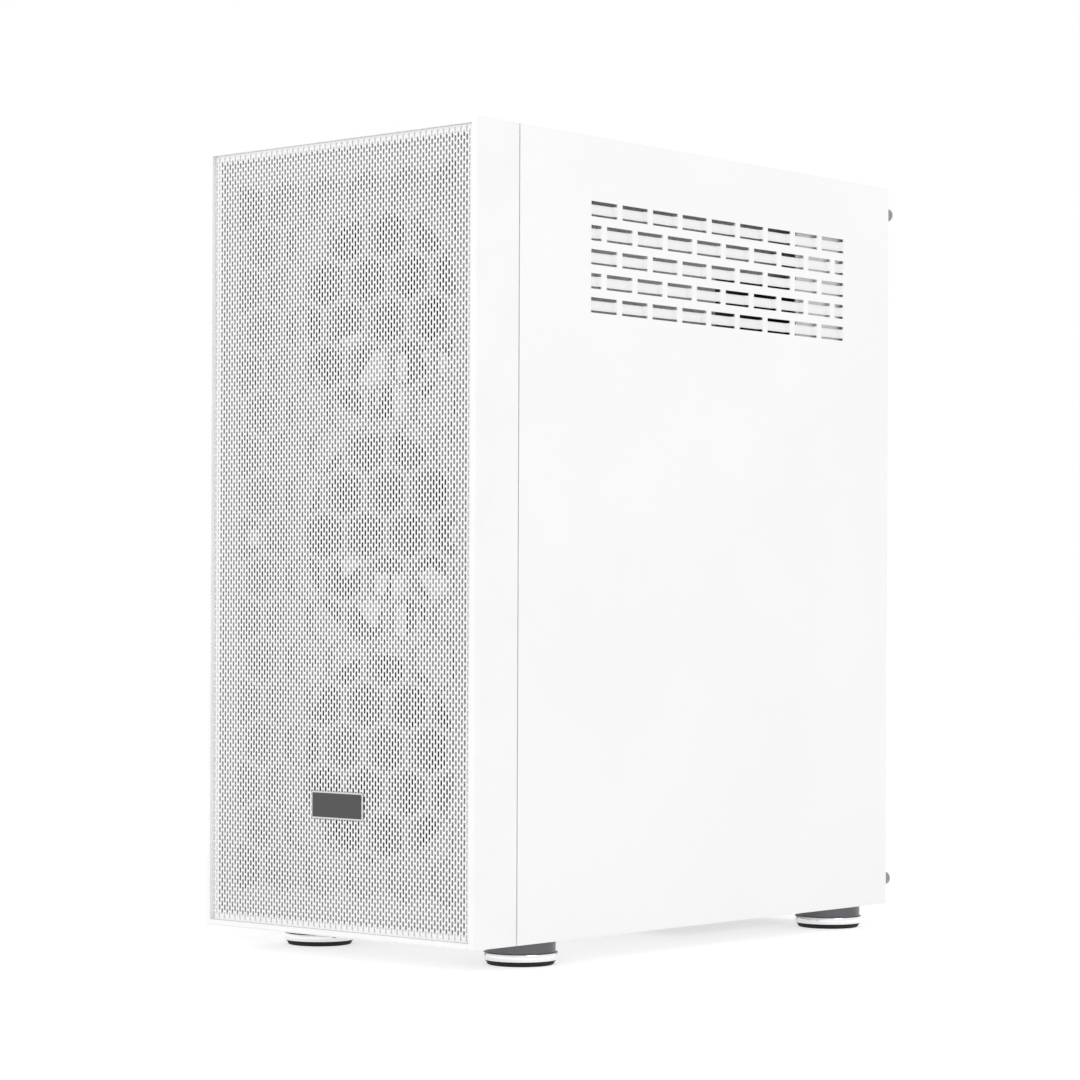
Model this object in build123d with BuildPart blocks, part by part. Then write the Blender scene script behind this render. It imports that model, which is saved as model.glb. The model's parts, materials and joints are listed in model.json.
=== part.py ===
"""Desktop computer tower: a steel chassis with its computer inside, a perforated front panel,
a louvered right side panel, a glass left side panel and four round feet.

Millimetres, +Z up. The front face looks along -Y and +X is to the right as seen from the front.
The origin is on the floor, under the middle of the whole object. Most places are given as a depth
behind the front face and a height above the underside of the case, which stands on its feet.
"""
from build123d import *
from math import cos, floor, radians, sin, tan
import os

os.makedirs("parts", exist_ok=True)

# ---------------------------------------------------------------- driving dimensions
BODY_W = 200.0          # case width, over both side panels
BODY_D = 367.0          # case depth, front face to rear flanges
BODY_H = 428.0          # case height, without the feet
FOOT_H = 13.5           # clearance under the case
BEZEL_D = 33.4          # depth of the front panel
SEAM = 0.7              # gap between the front panel and what stands behind it
SHEET = 1.0             # chassis sheet steel
SKIN = 0.8              # side panel sheet steel
GLASS = 4.0             # left pane
WALL_FLANGE = 12.0      # flanges folded along the chassis walls
GAP = 0.3               # clearance between pieces that move apart
FIT = 0.05              # radial clearance of a shaft in its bore
SNUG = 0.1              # clearance between pieces that stay together

# front panel
BEZEL_WALL = 3.2
MESH_SET = 2.4          # how far the perforated sheet sits behind the rim
MESH_T = 0.5
LEDGE_T = 3.0           # ledge that the perforated sheet and the grid rest on
LEDGE_W = 4.0
GRID_T = 6.0
GRID_BORDER = 15.8      # plain border of the grid, inside the bezel wall
CELL_PITCH = 30.9       # honeycomb, centre to centre along a row
CELL_ROW = 22.6         # honeycomb, row to row
CELL_WALL = 3.6
BADGE_W, BADGE_H, BADGE_T = 38.6, 14.8, 0.8
BADGE_HEIGHT = 70.0     # badge centre above the underside
BOSS_H = 9.0            # height of the boss that carries each snap stud
STUD_R = 2.8
STUD_L = 6.0
STUD_SHANK_R, STUD_SHANK_L = 1.5, 8.0
STUD_INSET = 12.0       # stud axis from the inside of the bezel wall
BEZEL_EDGE = 0.8        # softened outer edges

# side panels
FLANGE = 14.0           # rear flange that the thumbscrews hold
LIP = 7.0               # stiffening lip along the top and bottom of a panel
PANEL_TRAVEL = 20.0     # rearward slide that frees a panel
LOUVER_START = 91.6     # depth of the louver field
LOUVER_TOP = 393.4      # height of the louver field's upper edge
LOUVER_L, LOUVER_GAP, LOUVER_H = 21.7, 4.3, 8.3
LOUVER_ROWS, LOUVER_ROW = 5, 12.85
LOUVER_REAR = 40.0      # plain sheet kept behind the louver field
SLIT_TOP, SLIT_LOW = 1.6, 1.5
BRIDGE_SET = 2.2        # how far a louver's bridge is pushed in
BRIDGE_RAMP = 2.4
GLASS_REAR = 16.0       # steel strip behind the pane
PANE_BORDER = 14.0
BRACE_D, BRACE_H, BRACE_DROP = 87.0, 125.0, 10.0   # brace behind the rear end of the louvers

# thumbscrews
SCREW_PROUD = 10.5
SCREW_HEAD_R = 3.9
SCREW_R = 1.75
SCREW_L = 8.0
SCREW_INSET = 8.0       # screw axis from the side of the case
SCREW_LOW, SCREW_HIGH = 14.2, 14.5   # screw axis from the underside, and from the top
KNURLS = 20

# feet
FOOT_X, FOOT_FRONT, FOOT_REAR = 24.5, 64.6, 24.7   # from the side, the front and the rear
NECK_R, RING_R, PAD_R, PAD_TIP_R = 18.7, 20.05, 18.9, 17.8
NECK_H, RING_H = 6.8, 4.2

# roof
ROOF_T = 2.6
FILTER_T = 1.6          # depth of the roof's recess, and thickness of the filter in it
FILTER_FRONT, FILTER_REAR, FILTER_SIDE = 76.0, 14.0, 22.0
VENT_L, VENT_W, VENT_PITCH = 40.0, 4.0, 8.0
VENT_COLUMNS = 3
CONTROL_D = 48.0        # depth of the row of controls
POWER_X, RESET_X, LIGHT_X = 62.0, 42.0, 52.0
POWER_R, RESET_R, LIGHT_R = 6.0, 3.0, 1.0
BUTTON_PROUD, BUTTON_TRAVEL, BUTTON_COLLAR = 0.6, 1.0, 1.4
USB_A_X, USB_C_X, AUDIO_X = (-12.0, -36.0), 12.0, -60.0
USB_A, USB_C = (13.2, 5.8), (9.4, 3.6)
AUDIO_R = 1.8
CONTROL_BOARD_DROP = 16.0   # roof's underside to the control board

# bottom
FILTER_RAIL = 1.0
BOTTOM_FILTER_W, BOTTOM_FILTER_L, BOTTOM_FILTER_T = 103.8, 136.0, 2.2
HEX_ACROSS, HEX_PITCH = 5.2, 6.6

# fans
FAN = 120.0
FAN_T = 25.0
FAN_RIM = 2.5           # fan's edge to its bore
FAN_HOLE_R = 2.15
FAN_HUB_R = 20.0
FAN_SHAFT_R = 1.5
FAN_HOLE_INSET = 7.5    # fan's edge to its screw holes
FAN_SCREW_R, FAN_SCREW_HEAD_R, FAN_SCREW_HEAD_T, FAN_SCREW_L = 2.0, 3.6, 1.2, 9.0
FAN_BLADES = 9
FAN_STRUTS = 4
STRUT_T, STRUT_W = 3.0, 5.0
END_GAP = 1.0
BLADE_T = 1.6
FRONT_FANS = 3

# computer
TRAY_INSET = 21.0       # right panel's outside to the tray's right face
STANDOFF = 6.5
BOARD_T, BOARD = 1.6, 244.0
BOARD_TOP = 16.0        # case top to the board's upper edge
IO_W, IO_H, IO_TOP = 44.5, 158.8, 12.0
SLOT_PITCH, SLOT_H, SLOT_W, SLOTS = 20.32, 12.2, 102.0, 4
PSU_W, PSU_H, PSU_D, PSU_WALL = 150.0, 86.0, 140.0, 1.2
PSU_LIFT = 2.0
SHROUD_H = 98.0
COOLER_D, COOLER_H = 50.0, 120.0
FIN_T, FIN_PITCH, FINS = 0.6, 4.0, 28
PIPE_R = 3.0

# ---------------------------------------------------------------- places worked out from them
FAN_BORE_R = FAN / 2 - FAN_RIM
FAN_HOLES = FAN - 2 * FAN_HOLE_INSET
HALF_W = BODY_W / 2
FRONT_Y = -(BODY_D + SCREW_PROUD) / 2
BASE_Z = FOOT_H
LEFT_IN = -HALF_W + GLASS + SKIN + GAP      # left limit of the chassis
RIGHT_IN = HALF_W - SKIN - GAP              # right limit of the chassis
WALL_FRONT = BEZEL_D + SEAM                 # front wall's front face
WALL_REAR = BODY_D - SKIN - 0.2             # rear wall's rear face
REAR_IN = WALL_REAR - SHEET
FAN_FRONT = WALL_FRONT + SHEET
ROOF_IN = BODY_H - ROOF_T
TRAY_X = HALF_W - TRAY_INSET - SHEET        # tray's left face
BOARD_X = TRAY_X - STANDOFF - BOARD_T       # the board's component face
BOARD_REAR = REAR_IN - 1.0
BOARD_FRONT = BOARD_REAR - BOARD
BOARD_HIGH = BODY_H - BOARD_TOP
BOARD_LOW = BOARD_HIGH - BOARD
IO_HIGH = BOARD_HIGH - IO_TOP
IO_LOW = IO_HIGH - IO_H
IO_RIGHT = BOARD_X + BOARD_T + 1.0
IO_LEFT = IO_RIGHT - IO_W
FIRST_SLOT = IO_LOW - SLOT_PITCH / 2
SLOT_RIGHT = BOARD_X - 6.0
SLOT_LEFT = SLOT_RIGHT - SLOT_W
REAR_FAN_X = -HALF_W + FLANGE + GAP + FAN_SCREW_HEAD_R + FAN_HOLES / 2
REAR_FAN_H = IO_HIGH - FAN / 2 + 6.0


def y_of(depth):
    """World Y of a depth behind the front face."""
    return FRONT_Y + depth


def z_of(height):
    """World Z of a height above the underside of the case."""
    return BASE_Z + height


def facing(depth):
    """Upright plane at a depth: local x is +X, local y is +Z, and its normal looks forward."""
    return Plane(origin=(0, y_of(depth), z_of(0)), x_dir=(1, 0, 0), z_dir=(0, -1, 0))


def sideways(x):
    """Upright plane at an x: local x is the depth, local y is the height, its normal is +X."""
    return Plane(origin=(x, y_of(0), z_of(0)), x_dir=(0, 1, 0), z_dir=(1, 0, 0))


def level(height):
    """Level plane at a height: local x is +X and local y is the depth."""
    return Plane(origin=(0, y_of(0), z_of(height)), x_dir=(1, 0, 0), z_dir=(0, 0, 1))


def block(x, depth, height, mode=Mode.ADD):
    """Box between two x values, two depths and two heights, in the part being built."""
    centre = (sum(x) / 2, y_of(sum(depth) / 2), z_of(sum(height) / 2))
    with Locations(centre):
        Box(x[1] - x[0], depth[1] - depth[0], height[1] - height[0], mode=mode)


def write(part, name):
    """Label a finished piece and write it as its own file."""
    part.label = name
    export_step(part, f"parts/{name}.step")


def hex_places(width, height, pitch):
    """Centres of a staggered field of cells that fits a width and a height."""
    row_pitch = pitch * sin(radians(60))
    columns, rows = floor(width / pitch / 2), floor(height / row_pitch / 2)
    return [
        ((column + 0.5 * (row % 2)) * pitch, row * row_pitch)
        for row in range(-rows, rows + 1)
        for column in range(-columns, columns + 1)
        if abs((column + 0.5 * (row % 2)) * pitch) <= width / 2
    ]


# ---------------------------------------------------------------- front panel
INNER_W = BODY_W - 2 * BEZEL_WALL
INNER_H = BODY_H - 2 * BEZEL_WALL
STUD_PLACES = [
    (side * (HALF_W - BEZEL_WALL - STUD_INSET), height)
    for side in (-1, 1)
    for height in (BEZEL_WALL + BOSS_H / 2, BODY_H / 2, BODY_H - BEZEL_WALL - BOSS_H / 2)
]


def make_front_bezel():
    """Box frame of the front panel, with its ledge and the six bosses of its snap studs."""
    ledge_d = MESH_SET + MESH_T + SNUG
    boss_d = ledge_d + LEDGE_T + GRID_T + 2 * SNUG
    with BuildPart() as bezel:
        with BuildSketch(facing(0)):
            with Locations((0, BODY_H / 2)):
                Rectangle(BODY_W, BODY_H)
                Rectangle(INNER_W, INNER_H, mode=Mode.SUBTRACT)
        extrude(amount=-BEZEL_D)
        outer = bezel.edges().filter_by(GeomType.LINE).sort_by(Axis.Y)[:8]
        rim = [edge for edge in outer if edge.length > INNER_W + 1 and edge.length != INNER_H]
        chamfer(rim, BEZEL_EDGE)
        with BuildSketch(facing(ledge_d)):
            with Locations((0, BODY_H / 2)):
                Rectangle(INNER_W + 1, INNER_H + 1)
                Rectangle(INNER_W - 2 * LEDGE_W, INNER_H - 2 * LEDGE_W, mode=Mode.SUBTRACT)
        extrude(amount=-LEDGE_T)
        with BuildSketch(facing(boss_d)):
            with Locations(*STUD_PLACES):
                Rectangle(2 * STUD_INSET + 1, BOSS_H)
            with Locations((0, BODY_H / 2)):
                Rectangle(INNER_W + 1, INNER_H + 1, mode=Mode.INTERSECT)
        extrude(amount=-(BEZEL_D - boss_d))
        with BuildSketch(facing(BEZEL_D)):
            with Locations(*STUD_PLACES):
                Circle(STUD_SHANK_R + FIT)
        extrude(amount=STUD_SHANK_L + FIT, mode=Mode.SUBTRACT)
    return bezel.part


def make_panel_studs():
    """Six snap studs on the rear of the front panel, each with its shank in a boss."""
    with BuildPart() as studs:
        with BuildSketch(facing(BEZEL_D)):
            with Locations(*STUD_PLACES):
                Circle(STUD_R)
        extrude(amount=-STUD_L)
        chamfer(studs.faces().sort_by(Axis.Y)[-len(STUD_PLACES):].edges(), STUD_R / 4)
        with BuildSketch(facing(BEZEL_D)):
            with Locations(*STUD_PLACES):
                Circle(STUD_SHANK_R)
        extrude(amount=STUD_SHANK_L)
    return studs.part


def make_honeycomb_grid():
    """Moulded plate of pointed-top cells behind the perforated sheet."""
    width, height = INNER_W - 2 * SNUG, INNER_H - 2 * SNUG
    window_w, window_h = INNER_W - 2 * GRID_BORDER, INNER_H - 2 * GRID_BORDER
    half_w = (CELL_PITCH - CELL_WALL) / 2
    side_h = CELL_ROW / 3 - CELL_WALL * 0.08
    apex_h = 2 * CELL_ROW / 3 - CELL_WALL * 0.55
    cell = [(0, apex_h), (half_w, side_h), (half_w, -side_h), (0, -apex_h), (-half_w, -side_h),
            (-half_w, side_h)]
    columns, rows = floor(window_w / CELL_PITCH / 2) + 1, floor(window_h / CELL_ROW / 2)
    places = [
        ((column + 0.5 * ((row + rows + 1) % 2)) * CELL_PITCH, BODY_H / 2 + row * CELL_ROW)
        for row in range(-rows, rows + 1)
        for column in range(-columns - 1, columns + 1)
    ]
    front = MESH_SET + MESH_T + SNUG + LEDGE_T + SNUG
    with BuildPart() as grid:
        with BuildSketch(facing(front)):
            with Locations((0, BODY_H / 2)):
                Rectangle(width, height)
        extrude(amount=-GRID_T)
        with BuildSketch(facing(front)):
            with Locations(*places):
                Polygon(*cell, align=None)
            with Locations((0, BODY_H / 2)):
                Rectangle(window_w, window_h, mode=Mode.INTERSECT)
        extrude(amount=-GRID_T, mode=Mode.SUBTRACT)
    return grid.part


def make_front_mesh():
    """Perforated sheet, as the plain sheet that it is stamped from."""
    with BuildPart() as mesh:
        with BuildSketch(facing(MESH_SET)):
            with Locations((0, BODY_H / 2)):
                Rectangle(INNER_W - 2 * SNUG, INNER_H - 2 * SNUG)
        extrude(amount=-MESH_T)
    return mesh.part


def make_badge():
    """Plain badge on the lower middle of the perforated sheet."""
    with BuildPart() as badge:
        with BuildSketch(facing(MESH_SET)):
            with Locations((0, BADGE_HEIGHT)):
                RectangleRounded(BADGE_W, BADGE_H, 1.2)
        extrude(amount=BADGE_T)
        chamfer(badge.faces().sort_by(Axis.Y)[0].edges(), 0.25)
    return badge.part


write(make_front_bezel(), "front_bezel")
write(make_panel_studs(), "panel_studs")
write(make_honeycomb_grid(), "honeycomb_grid")
write(make_front_mesh(), "front_mesh")
write(make_badge(), "badge")


# ---------------------------------------------------------------- side panels and thumbscrews
SCREW_HEIGHTS = {"lower": SCREW_LOW, "upper": BODY_H - SCREW_HIGH}
SCREW_X = HALF_W - SCREW_INSET


def louver_rows():
    """Each row's height and its louvers' depths and lengths: short louvers square the field."""
    pitch = LOUVER_L + LOUVER_GAP
    columns = floor((BODY_D - LOUVER_START - LOUVER_REAR + LOUVER_GAP) / pitch)
    short = (LOUVER_L - LOUVER_GAP) / 2
    end = LOUVER_START + columns * pitch - LOUVER_GAP
    full, first = LOUVER_START + LOUVER_L / 2, LOUVER_START + short + LOUVER_GAP + LOUVER_L / 2
    even = [(full + column * pitch, LOUVER_L) for column in range(columns)]
    odd = [(first + column * pitch, LOUVER_L) for column in range(columns - 1)]
    odd += [(LOUVER_START + short / 2, short), (end - short / 2, short)]
    height = LOUVER_TOP - LOUVER_H / 2
    return [(height - row * LOUVER_ROW, odd if row % 2 else even) for row in range(LOUVER_ROWS)]


def make_right_panel():
    """Steel side panel: rear flange, stiffening lips and the field of bridge louvers."""
    inner = HALF_W - SKIN
    lip_ends = (WALL_FRONT + WALL_FLANGE + LIP, WALL_REAR - WALL_FLANGE - PANEL_TRAVEL - GAP)
    with BuildPart() as panel:
        block((inner, HALF_W), (WALL_FRONT, BODY_D), (0, BODY_H))
        block((HALF_W - FLANGE, HALF_W), (BODY_D - SKIN, BODY_D), (0, BODY_H))
        block((HALF_W - LIP, inner), lip_ends, (SHEET + GAP, SHEET + GAP + SKIN))
        block((HALF_W - LIP, inner), lip_ends, (ROOF_IN - GAP - SKIN, ROOF_IN - GAP))
        with BuildSketch(sideways(inner)):
            for height, louvers in louver_rows():
                for depth, length in louvers:
                    with Locations((depth, height)):
                        Rectangle(length, LOUVER_H)
        extrude(amount=SKIN, mode=Mode.SUBTRACT)
        for height, louvers in louver_rows():
            low = z_of(height - LOUVER_H / 2 + SLIT_LOW)
            with BuildSketch(Plane.XY.offset(low)):
                for depth, length in louvers:
                    end, flat = length / 2, length / 2 - BRIDGE_RAMP
                    with Locations((HALF_W, y_of(depth))):
                        Polygon(
                            (0, -end), (-BRIDGE_SET, -flat), (-BRIDGE_SET, flat), (0, end),
                            (-SKIN, end), (-SKIN - BRIDGE_SET, flat), (-SKIN - BRIDGE_SET, -flat),
                            (-SKIN, -end), align=None,
                        )
            extrude(amount=LOUVER_H - SLIT_TOP - SLIT_LOW)
        with BuildSketch(facing(BODY_D)):
            with Locations(*[(SCREW_X, height) for height in SCREW_HEIGHTS.values()]):
                Circle(SCREW_R + FIT)
        extrude(amount=SKIN, mode=Mode.SUBTRACT)
    return panel.part


def make_left_glass():
    """Tempered pane of the left side."""
    with BuildPart() as pane:
        block((-HALF_W, -HALF_W + GLASS), (WALL_FRONT, BODY_D - GLASS_REAR - SNUG), (0, BODY_H))
        chamfer(pane.faces().sort_by(Axis.X)[0].edges(), 0.5)
    return pane.part


def make_left_frame():
    """Steel frame that the pane is bonded to, with the rear strip that the thumbscrews hold."""
    back = -HALF_W + GLASS
    strip = BODY_D - GLASS_REAR
    with BuildPart() as frame:
        block((back, back + SKIN), (WALL_FRONT, BODY_D - SKIN), (0, BODY_H))
        block((back, back + SKIN), (WALL_FRONT + PANE_BORDER, strip - PANE_BORDER / 2),
              (PANE_BORDER, BODY_H - PANE_BORDER), mode=Mode.SUBTRACT)
        block((-HALF_W, -HALF_W + SKIN), (strip, BODY_D), (0, BODY_H))
        block((-HALF_W, back), (strip, strip + SKIN), (0, BODY_H))
        for height in ((0, SKIN), (BODY_H - SKIN, BODY_H)):
            block((-HALF_W, back), (strip, BODY_D), height)
        block((-HALF_W, -HALF_W + FLANGE), (BODY_D - SKIN, BODY_D), (0, BODY_H))
        with BuildSketch(facing(BODY_D)):
            with Locations(*[(-SCREW_X, height) for height in SCREW_HEIGHTS.values()]):
                Circle(SCREW_R + FIT)
        extrude(amount=SKIN, mode=Mode.SUBTRACT)
    return frame.part


def make_thumbscrew(x, height):
    """Captive thumbscrew: knurled head with a driver slot, and its shank through the flange."""
    face = Plane(origin=(x, y_of(BODY_D) + FIT, z_of(height)), x_dir=(-1, 0, 0), z_dir=(0, 1, 0))
    head_l = SCREW_PROUD - FIT
    with BuildPart() as screw:
        with BuildSketch(face):
            Circle(SCREW_HEAD_R)
            with PolarLocations(SCREW_HEAD_R + 0.15, KNURLS):
                Circle(0.42, mode=Mode.SUBTRACT)
        extrude(amount=head_l)
        with BuildSketch(face.offset(head_l)):
            Rectangle(SCREW_HEAD_R * 1.3, 0.9)
            Rectangle(0.9, SCREW_HEAD_R * 1.3)
        extrude(amount=-1.4, mode=Mode.SUBTRACT)
        with BuildSketch(face):
            Circle(SCREW_R)
        extrude(amount=-SCREW_L)
        chamfer(screw.faces().sort_by(Axis.Y)[0].edges(), 0.5)
    return screw.part


write(make_right_panel(), "right_panel")
write(make_left_glass(), "left_glass")
write(make_left_frame(), "left_frame")
for side_name, side in (("right", 1), ("left", -1)):
    for level_name, screw_height in SCREW_HEIGHTS.items():
        write(make_thumbscrew(side * SCREW_X, screw_height), f"thumbscrew_{side_name}_{level_name}")


# ---------------------------------------------------------------- fans
def make_fan_frame(*planes):
    """Square fan frame on each plane, its body along the plane's normal, with its motor mount."""
    with BuildPart() as frame:
        for plane in planes:
            with BuildSketch(plane):
                RectangleRounded(FAN - 2 * SNUG, FAN - 2 * SNUG, 5)
                Circle(FAN_BORE_R, mode=Mode.SUBTRACT)
                with GridLocations(FAN_HOLES, FAN_HOLES, 2, 2):
                    Circle(FAN_HOLE_R, mode=Mode.SUBTRACT)
            extrude(amount=FAN_T)
            with BuildSketch(plane.offset(FAN_T - STRUT_T)):
                Circle(FAN_HUB_R)
                with PolarLocations(0, FAN_STRUTS):
                    Rectangle(FAN_BORE_R + 1, STRUT_W, align=(Align.MIN, Align.CENTER))
                Circle(FAN_SHAFT_R + FIT, mode=Mode.SUBTRACT)
            extrude(amount=STRUT_T)
    return frame.part


def make_rotor(plane, tip_r, hub_r, hub_h, shaft_l, blades=FAN_BLADES):
    """Fan rotor: a cup with lofted blades round it, and its shaft along the plane's normal."""
    with BuildPart() as rotor:
        with BuildSketch(plane):
            Circle(hub_r)
        extrude(amount=hub_h)
        with BuildSketch(plane.offset(hub_h)):
            Circle(FAN_SHAFT_R)
        extrude(amount=shaft_l)
        for index in range(blades):
            angle = radians(360 / blades * index)
            outward = plane.x_dir * cos(angle) + plane.y_dir * sin(angle)
            turned = Plane(origin=plane.origin, x_dir=outward, z_dir=plane.z_dir)
            for radius, chord, pitch in (
                (hub_r * 0.8, hub_h / sin(radians(50)) * 0.82, 50),
                (tip_r + 2, hub_h / sin(radians(30)) * 0.86, 30),
            ):
                middle = turned.from_local_coords((radius, 0, hub_h / 2))
                with BuildSketch(Plane(origin=middle, x_dir=turned.y_dir, z_dir=turned.x_dir)):
                    Rectangle(chord, BLADE_T, rotation=pitch)
            loft()
        with BuildSketch(plane.offset(-1)):
            Circle(tip_r)
        extrude(amount=hub_h + shaft_l + 2, mode=Mode.INTERSECT)
    return rotor.part


def rearward(x, depth, height):
    """Plane at a place whose normal looks to the rear."""
    return Plane(origin=(x, y_of(depth), z_of(height)), x_dir=(-1, 0, 0), z_dir=(0, 1, 0))


FAN_HUB_H = FAN_T - STRUT_T - 2 * END_GAP - 1.0
FAN_SHAFT_L = END_GAP + STRUT_T * 0.8
FRONT_FAN_HEIGHTS = [BODY_H / 2 + (index - (FRONT_FANS - 1) / 2) * FAN for index in range(FRONT_FANS)]
front_fan_planes = [rearward(0, FAN_FRONT, height) for height in FRONT_FAN_HEIGHTS]
rear_fan_plane = rearward(REAR_FAN_X, REAR_IN - FAN_T, REAR_FAN_H)
# the cooler's fan stands in front of its fins
COOLER_X_HIGH = BOARD_X - 26.0
COOLER_X = COOLER_X_HIGH - (FINS - 1) * FIN_PITCH / 2
COOLER_DEPTH = REAR_IN - FAN_T - 43.0 - COOLER_D
COOLER_HEIGHT = BOARD_HIGH - 75.0
cooler_fan_plane = rearward(COOLER_X, COOLER_DEPTH - FAN_T - SNUG, COOLER_HEIGHT)

write(make_fan_frame(*front_fan_planes), "front_fan_frames")
write(make_fan_frame(rear_fan_plane), "rear_fan_frame")
write(make_fan_frame(cooler_fan_plane), "cooler_fan_frame")
rotors = dict(zip(("lower", "middle", "upper"), front_fan_planes))
rotors = {f"front_fan_rotor_{name}": plane for name, plane in rotors.items()}
rotors["rear_fan_rotor"] = rear_fan_plane
rotors["cooler_fan_rotor"] = cooler_fan_plane
for rotor_name, fan_plane in rotors.items():
    start = fan_plane.offset(FAN_T - STRUT_T - END_GAP - FAN_HUB_H)
    write(make_rotor(start, FAN_BORE_R - 1.2, FAN_HUB_R, FAN_HUB_H, FAN_SHAFT_L), rotor_name)


# ---------------------------------------------------------------- chassis
STANDOFF_PLACES = [
    (BOARD_REAR - 8, BOARD_HIGH - 7), (BOARD_FRONT + 80, BOARD_HIGH - 7),
    (BOARD_FRONT + 8, BOARD_HIGH - 7), (BOARD_REAR - 8, BOARD_LOW + 90),
    (BOARD_FRONT + 80, BOARD_LOW + 90), (BOARD_FRONT + 8, BOARD_LOW + 90),
    (BOARD_REAR - 8, BOARD_LOW + 8), (BOARD_FRONT + 80, BOARD_LOW + 8),
    (BOARD_FRONT + 8, BOARD_LOW + 8),
]
CUTOUT_D = (COOLER_DEPTH + COOLER_D / 2 - 46, COOLER_DEPTH + COOLER_D / 2 + 46)
CUTOUT_H = (COOLER_HEIGHT - 62, COOLER_HEIGHT + 30)  # opening behind the processor
CABLE_SLOT = (18.0, 60.0)


def make_chassis_floor():
    """Floor sheet with the power supply's vent and the rails of the filter under it."""
    rail = BOTTOM_FILTER_W / 2 + GAP
    slot_l, slot_w, slot_pitch = 42.0, 4.0, 8.0
    with BuildPart() as sheet:
        block((LEFT_IN, RIGHT_IN), (WALL_FRONT, WALL_REAR), (0, SHEET))
        with BuildSketch(level(0)):
            with Locations((0, REAR_IN - PSU_D / 2)):
                with GridLocations(slot_l + slot_w, slot_pitch, 2, 13):
                    SlotOverall(slot_l, slot_w)
        extrude(amount=SHEET, mode=Mode.SUBTRACT)
        drop = BOTTOM_FILTER_T + 2 * GAP
        ends = (REAR_IN - BOTTOM_FILTER_L - 4, WALL_REAR)
        for side in (-1, 1):
            block(sorted((side * rail, side * (rail + FILTER_RAIL))), ends,
                  (-drop - FILTER_RAIL, 0))
            block(sorted((side * (rail - 2), side * (rail + FILTER_RAIL))), ends,
                  (-drop - FILTER_RAIL, -drop))
    return sheet.part


def make_chassis_roof():
    """Roof with the recess for its filter, the vent under it and the holes of the controls."""
    filter_x = (LEFT_IN + FILTER_SIDE - 6, RIGHT_IN - FILTER_SIDE)
    filter_d = (FILTER_FRONT, BODY_D - FILTER_REAR)
    column_pitch = (filter_x[1] - filter_x[0]) / VENT_COLUMNS
    rows = floor((filter_d[1] - filter_d[0] - 20) / VENT_PITCH)
    with BuildPart() as roof:
        block((LEFT_IN, RIGHT_IN), (WALL_FRONT, WALL_REAR), (ROOF_IN, BODY_H))
        block(filter_x, filter_d, (BODY_H - FILTER_T, BODY_H), mode=Mode.SUBTRACT)
        with BuildSketch(level(ROOF_IN)):
            with Locations((sum(filter_x) / 2, sum(filter_d) / 2)):
                with GridLocations(column_pitch, VENT_PITCH, VENT_COLUMNS, rows):
                    SlotOverall(VENT_L, VENT_W)
            with Locations((POWER_X, CONTROL_D)):
                Circle(POWER_R + GAP)
            with Locations((RESET_X, CONTROL_D)):
                Circle(RESET_R + GAP)
            with Locations((LIGHT_X, CONTROL_D)):
                Circle(LIGHT_R + SNUG)
            with Locations(*[(x, CONTROL_D) for x in USB_A_X]):
                Rectangle(USB_A[0] + 2 * SNUG, USB_A[1] + 2 * SNUG)
            with Locations((USB_C_X, CONTROL_D)):
                SlotOverall(USB_C[0] + 2 * SNUG, USB_C[1] + 2 * SNUG)
            with Locations((AUDIO_X, CONTROL_D)):
                Circle(AUDIO_R + 1.4 + SNUG)
        extrude(amount=ROOF_T, mode=Mode.SUBTRACT)
    return roof.part


def make_front_wall():
    """Front wall with its fan openings, stud holes and side flanges."""
    with BuildPart() as wall:
        block((LEFT_IN, RIGHT_IN), (WALL_FRONT, FAN_FRONT), (SHEET, ROOF_IN))
        for x in ((LEFT_IN, LEFT_IN + SHEET), (RIGHT_IN - SHEET, RIGHT_IN)):
            block(x, (WALL_FRONT, WALL_FRONT + WALL_FLANGE), (SHEET, ROOF_IN))
        with BuildSketch(facing(FAN_FRONT)):
            for height in FRONT_FAN_HEIGHTS:
                with Locations((0, height)):
                    Circle(FAN_BORE_R - 1)
                    with GridLocations(FAN_HOLES, FAN_HOLES, 2, 2):
                        Circle(FAN_SCREW_R + SNUG)
            with Locations(*STUD_PLACES):
                Circle(STUD_R + GAP)
        extrude(amount=SHEET, mode=Mode.SUBTRACT)
    return wall.part


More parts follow.
